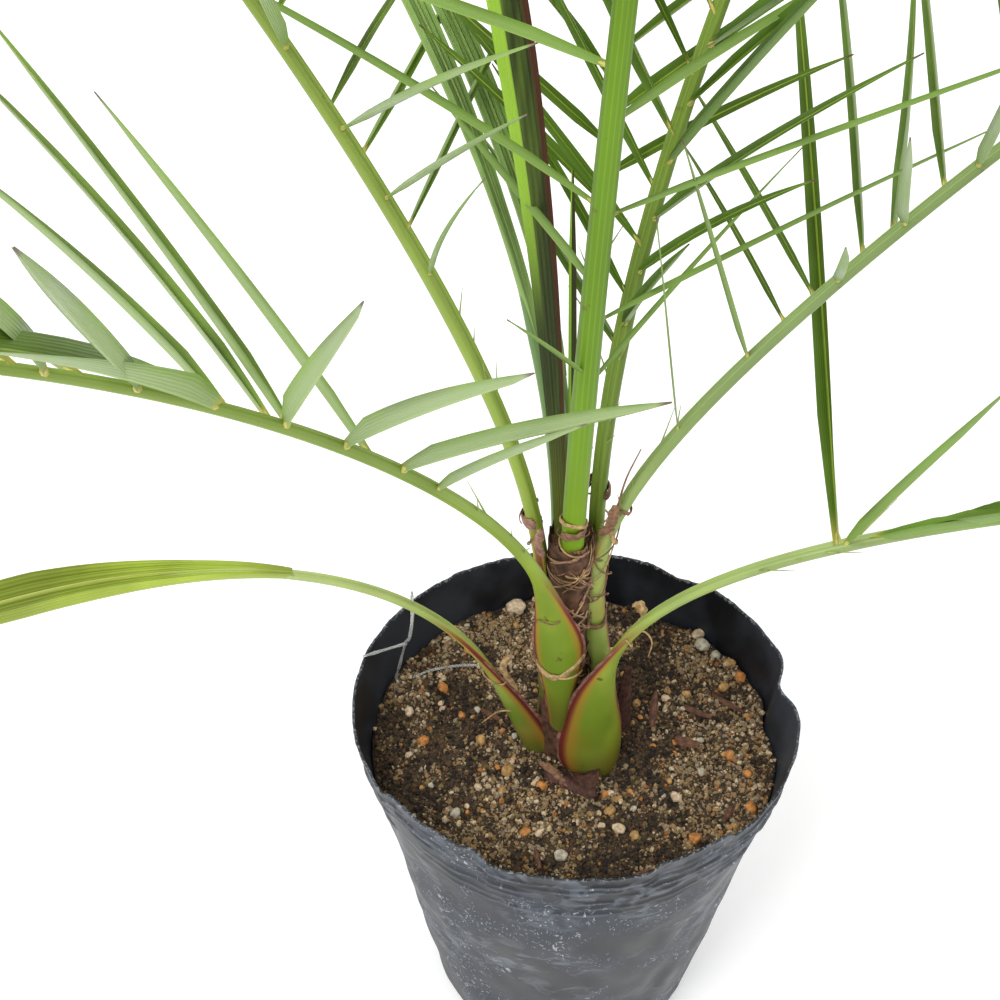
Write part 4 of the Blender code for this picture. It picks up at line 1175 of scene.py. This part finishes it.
def make_sleeve(material, threads):
    """Torn brown sheath round the inner stalks, wound with crossing fibres."""
    foot = SOIL_LEVEL - 0.003
    rings = np.array([[sleeve_point(turn, foot + (SLEEVE_TOP - foot
                                                  + 0.0045 * rough_round(turn, 5, 2)) * share)
                       for turn in turns_round(96)] for share in np.linspace(0, 1, 70)])
    middle = rings[-1].mean(0)
    lip = middle + (rings[-1] - middle) * 0.9 - (0, 0, 0.003)
    ring_piece("sheath_sleeve", material, "leaf_base", np.concatenate([rings, lip[None]]))
    draw = random.Random(23)
    windings = {name: Batch("along") for name in threads}
    along = np.linspace(0, 1, 24)
    for number in range(SLEEVE_THREADS):
        name = draw.choice(tuple(threads))
        start, turn = draw.uniform(SOIL_LEVEL + 0.03, SLEEVE_TOP - 0.006), draw.uniform(-3.2, 0.4)
        swing, climb = draw.uniform(0.9, 2.2), draw.uniform(-0.018, 0.018)
        line = [sleeve_point(turn + swing * share, min(start + climb * share, SLEEVE_TOP - 0.001),
                             0.0003 + 0.0009 * math.sin(math.pi * share) * draw.uniform(0.8, 1))
                for share in along]
        add_tube(windings[name], line, draw.uniform(0.00016, 0.00042), 5, along=along)
    for name, winding in windings.items():
        winding.build(f"sleeve_threads_{name}", threads[name], "dry_sheath", angle=180)


def make_margins(frond, path, material):
    """Dry papery strips along both edges of a sheath."""
    batch = Batch()
    distance = np.linspace(0.002, frond.sheath_length * 0.86, 70)
    point, turned = place(path, distance)
    left, upper = turned[:, 1], turned[:, 2]
    width, thick, cup = (np.reshape(size, (-1, 1)) for size in stalk_size(frond, distance))
    taper = np.sin(np.pi * np.linspace(0.06, 0.97, 70)) ** 0.6
    slab = upper * 0.00012
    for side in (1, -1):
        base = point + left * (side * width / 2) + upper * (cup * width * 0.58 * 1.3)
        waves = np.array([rough(spot * 260, side * 4, 2) for spot in distance])
        reach = (0.0009 * taper * (1 + 0.7 * waves))[:, None]
        curl = (0.5 + 0.7 * waves)[:, None]
        tip = base + left * (side * reach * np.cos(curl)) + upper * (reach * np.sin(curl) + 0.0002)
        middle = (base + tip) / 2 + upper * 0.00025
        add_rings(batch, np.stack([base + slab, middle + slab, tip + slab / 2, tip - slab / 2,
                                   middle - slab, base - slab], 1))
    batch.build(f"margins_{frond.name}", material, "dry_sheath", angle=60)


def add_ribbon(batch, line, facing, width, draw, thick=0.00016):
    """A thin strip with ragged edges; facing is the way its broad side looks."""
    ahead = tangents(line)
    side = unit(np.cross(ahead, facing))
    face = np.cross(side, ahead)
    share = np.linspace(0, 1, len(line))
    taper = 0.35 + 0.65 * np.minimum(1, np.minimum(share, 1 - share) / 0.15)
    edges = []
    for edge in range(2):
        start = draw.uniform(0, 90)
        ragged = np.array([rough(start + 14 * s, edge * 5, 0) for s in share])
        edges.append(width / 2 * taper * (1 + 0.55 * ragged))
    curl = draw.uniform(0.1, 0.3)
    rings = []
    for across, level in ((-1, 1), (-0.4, 1), (0.4, 1), (1, 1), (1, -1), (0.4, -1), (-0.4, -1),
                          (-1, -1)):
        reach = edges[0] if across < 0 else edges[1]
        rise = level * thick / 2 - curl * width * across * across
        rings.append(line + side * (across * reach)[:, None] + face * rise)
    add_rings(batch, np.stack(rings, 1), along=share)


def make_fibres(paths, materials):
    """Sheath fibre wound round the leaf bases, and the loose dry strips among them."""
    fronds = {frond.name: frond for frond in FRONDS}
    batches = {name: Batch("along") for name in FIBRE_COLOURS}
    share = np.linspace(0, 1, 30)
    for number, (name, start, end, low, high, width, loose, colour) in enumerate(WRAPS):
        draw = random.Random(f"wrap {number}")
        distance = start + (end - start) * share + 0.001 * np.sin(share * 7 + draw.uniform(0, 6))
        turn = np.radians(low + (high - low) * share)
        proud = 0.0004 + loose * (0.5 + 0.5 * np.sin(share * 9 + draw.uniform(0, 6)))
        frond, path = fronds[name], paths[name]
        line = stalk_skin(frond, path, distance, turn, proud)
        if width < ROUND_FIBRE:
            add_tube(batches[colour], line, width / 2 * 0.55, 6, along=share)
        else:
            inner = stalk_skin(frond, path, distance, turn, -0.0008)
            add_ribbon(batches[colour], line, line - inner, width, draw)
    for number, (points, facing, width, colour) in enumerate(STRIPS):
        draw = random.Random(f"strip {number}")
        line = smooth_line(points, 34)
        if width:
            facing = np.broadcast_to(facing, line.shape)
            add_ribbon(batches[colour], line, facing, width, draw, 0.0003)
        else:
            add_tube(batches[colour], line, np.linspace(0.00042, 0.00018, 34), 6,
                     along=np.linspace(0, 1, 34))
    for name, batch in batches.items():
        batch.build(f"fibres_{name}", materials[name], "dry_sheath", angle=50)


def make_dry_base(name, azimuth, face, radius, height, lean, length, width, material):
    """A dry leaf base: a cupped scale with furrows, frayed at its end."""
    point = above_soil(azimuth, radius, height)
    angle = turns_round(48)
    across, deep = np.cos(angle), np.sin(angle)
    rings, stations = [], 30
    for share in np.linspace(0, 1, stations):
        along, left, upper = directions(lean[0] + (lean[1] - lean[0]) * share, face)
        taper = 1 - 0.72 * share ** 1.6
        frayed = np.array([rough(spot * 3.5, share * 3, 8) for spot in across])
        off = (0.0017 - 0.001 * share) / 2 * deep + np.cos(across * 15) * 0.00012 * np.sign(deep)
        off = off + 0.3 * width * taper * (across ** 2 - 0.42)
        reach = width * taper / 2 * (1 + 0.16 * frayed)
        ahead = 0.002 * share ** 3 * frayed
        rings.append(point + left * (reach * across)[:, None] + upper * off[:, None]
                     + along * ahead[:, None])
        point = point + along * (length / (stations - 1))
    ring_piece(name + "_dry", material, "dry_sheath", rings, [name], 50)


def make_strand(material):
    """A clear sticky strand hanging from a petiole, with a branch to the pot's edge."""
    batch = Batch()
    for points in STRAND:
        line = smooth_line(points, 12 * len(points))
        bumps = np.array([rough(*(spot * 300)) for spot in line])
        add_tube(batch, line, 0.00055 * (1 + 0.35 * bumps), 8)
    batch.build("clear_strand", material, "dry_sheath", angle=180)


# ---- floor, light and camera ----------------------------------------------------------------
def make_stage():
    """A wide white floor that glows a little, a white world and two soft lamps."""
    reach = 6.0
    floor_mesh = bpy.data.meshes.new("floor")
    floor_mesh.from_pydata([(-reach, -reach, 0), (reach, -reach, 0), (reach, reach, 0),
                            (-reach, reach, 0)], [], [(0, 1, 2, 3)])
    floor = bpy.data.objects.new("floor", floor_mesh)
    bpy.context.scene.collection.objects.link(floor)
    floor.location.z = -0.0004
    white = Finish("floor_white", 0.9, Base_Color=(0.95, 0.95, 0.95),
                   Emission_Color=(1.0, 1.0, 1.0), Emission_Strength=0.16)
    floor_mesh.materials.append(white.material)
    world = bpy.data.worlds.new("studio")
    bpy.context.scene.world = world
    world.use_nodes = True
    background = world.node_tree.nodes["Background"].inputs
    background["Color"].default_value = (1.0, 1.0, 1.0, 1)
    background["Strength"].default_value = 0.94
    for name, spot, size, power in (("key", (-0.9, -0.9, 1.9), 1.0, 27),
                                    ("fill", (1.3, -0.5, 1.4), 1.2, 5)):
        light = bpy.data.lights.new(name, "AREA")
        light.size = size
        light.energy = power
        lamp = bpy.data.objects.new(name, light)
        lamp.location = spot
        aim = Vector((0, 0, 0.2)) - lamp.location
        lamp.rotation_euler = aim.to_track_quat("-Z", "Y").to_euler()
        bpy.context.scene.collection.objects.link(lamp)
    bpy.context.scene.view_settings.view_transform = "Standard"


def make_camera():
    data = bpy.data.cameras.new("camera")
    data.lens = CAMERA_LENS
    data.sensor_width = 36
    data.clip_start = 0.01
    camera = bpy.data.objects.new("camera", data)
    camera.location = CAMERA_PLACE
    camera.rotation_euler = (math.radians(CAMERA_TILT), 0, 0)
    bpy.context.scene.collection.objects.link(camera)
    bpy.context.scene.camera = camera


# ---- put together ---------------------------------------------------------------------------
make_camera()
make_stage()
make_pot(film_finish())
make_soil_bed(plain_finish("soil_dark", (0.06, 0.037, 0.019), 0.95, 900, 0.35))
make_grains()
make_pebbles()
make_bark(plain_finish("bark", (0.135, 0.058, 0.032), 0.85, 500, 0.5))

leaf_materials = {tone: leaf_finish(tone) for tone in LEAF_TONES}
stalk_materials = {tone: stalk_finish(tone) for tone in STALK_TONES}
joint_yellow = plain_finish("leaf_joint", (0.46, 0.42, 0.1), 0.5, 500, 0.8)
spine_green = plain_finish("spine_green", (0.28, 0.36, 0.09), 0.5, 500, 0.7)
paper_brown = plain_finish("paper_brown", (0.26, 0.125, 0.085), 0.8, 420, 0.45)
core_brown = plain_finish("core_brown", (0.085, 0.045, 0.028), 0.9, 420, 0.45)
make_core(core_brown)
room = Room()
paths = {}
for frond in FRONDS:
    path = paths[frond.name] = route(frond)
    room.add(frond.name, path[0])
    make_stalk(frond, path, stalk_materials[STALK_TONE.get(frond.name, frond.tone)])
    make_margins(frond, path, paper_brown)
fibre_materials = {name: plain_finish(f"fibre_{name}", colour, 0.75, 620, 0.5)
                   for name, colour in FIBRE_COLOURS.items()}
make_fibres(paths, fibre_materials)
make_sleeve(plain_finish("sleeve_brown", (0.115, 0.05, 0.024), 0.85, 380, 0.3),
            {name: fibre_materials[name] for name in ("tan", "brown", "pink")})
for dry_base in DRY_BASES:
    make_dry_base(*dry_base, plain_finish(dry_base[0] + "_dry", (0.088, 0.034, 0.022), 0.75, 460,
                                          0.4))
make_strand(strand_finish())
folded_green = spear_finish()
for spear in SPEARS:
    make_spear(*spear, folded_green)
for frond in FRONDS:
    if frond.kind == "strap":
        make_strap(frond, paths[frond.name], room, leaf_materials[frond.tone])
for frond in FRONDS:
    if frond.kind == "pinnate":
        make_pinnate(frond, paths[frond.name], room, leaf_materials[frond.tone], joint_yellow,
                     spine_green)
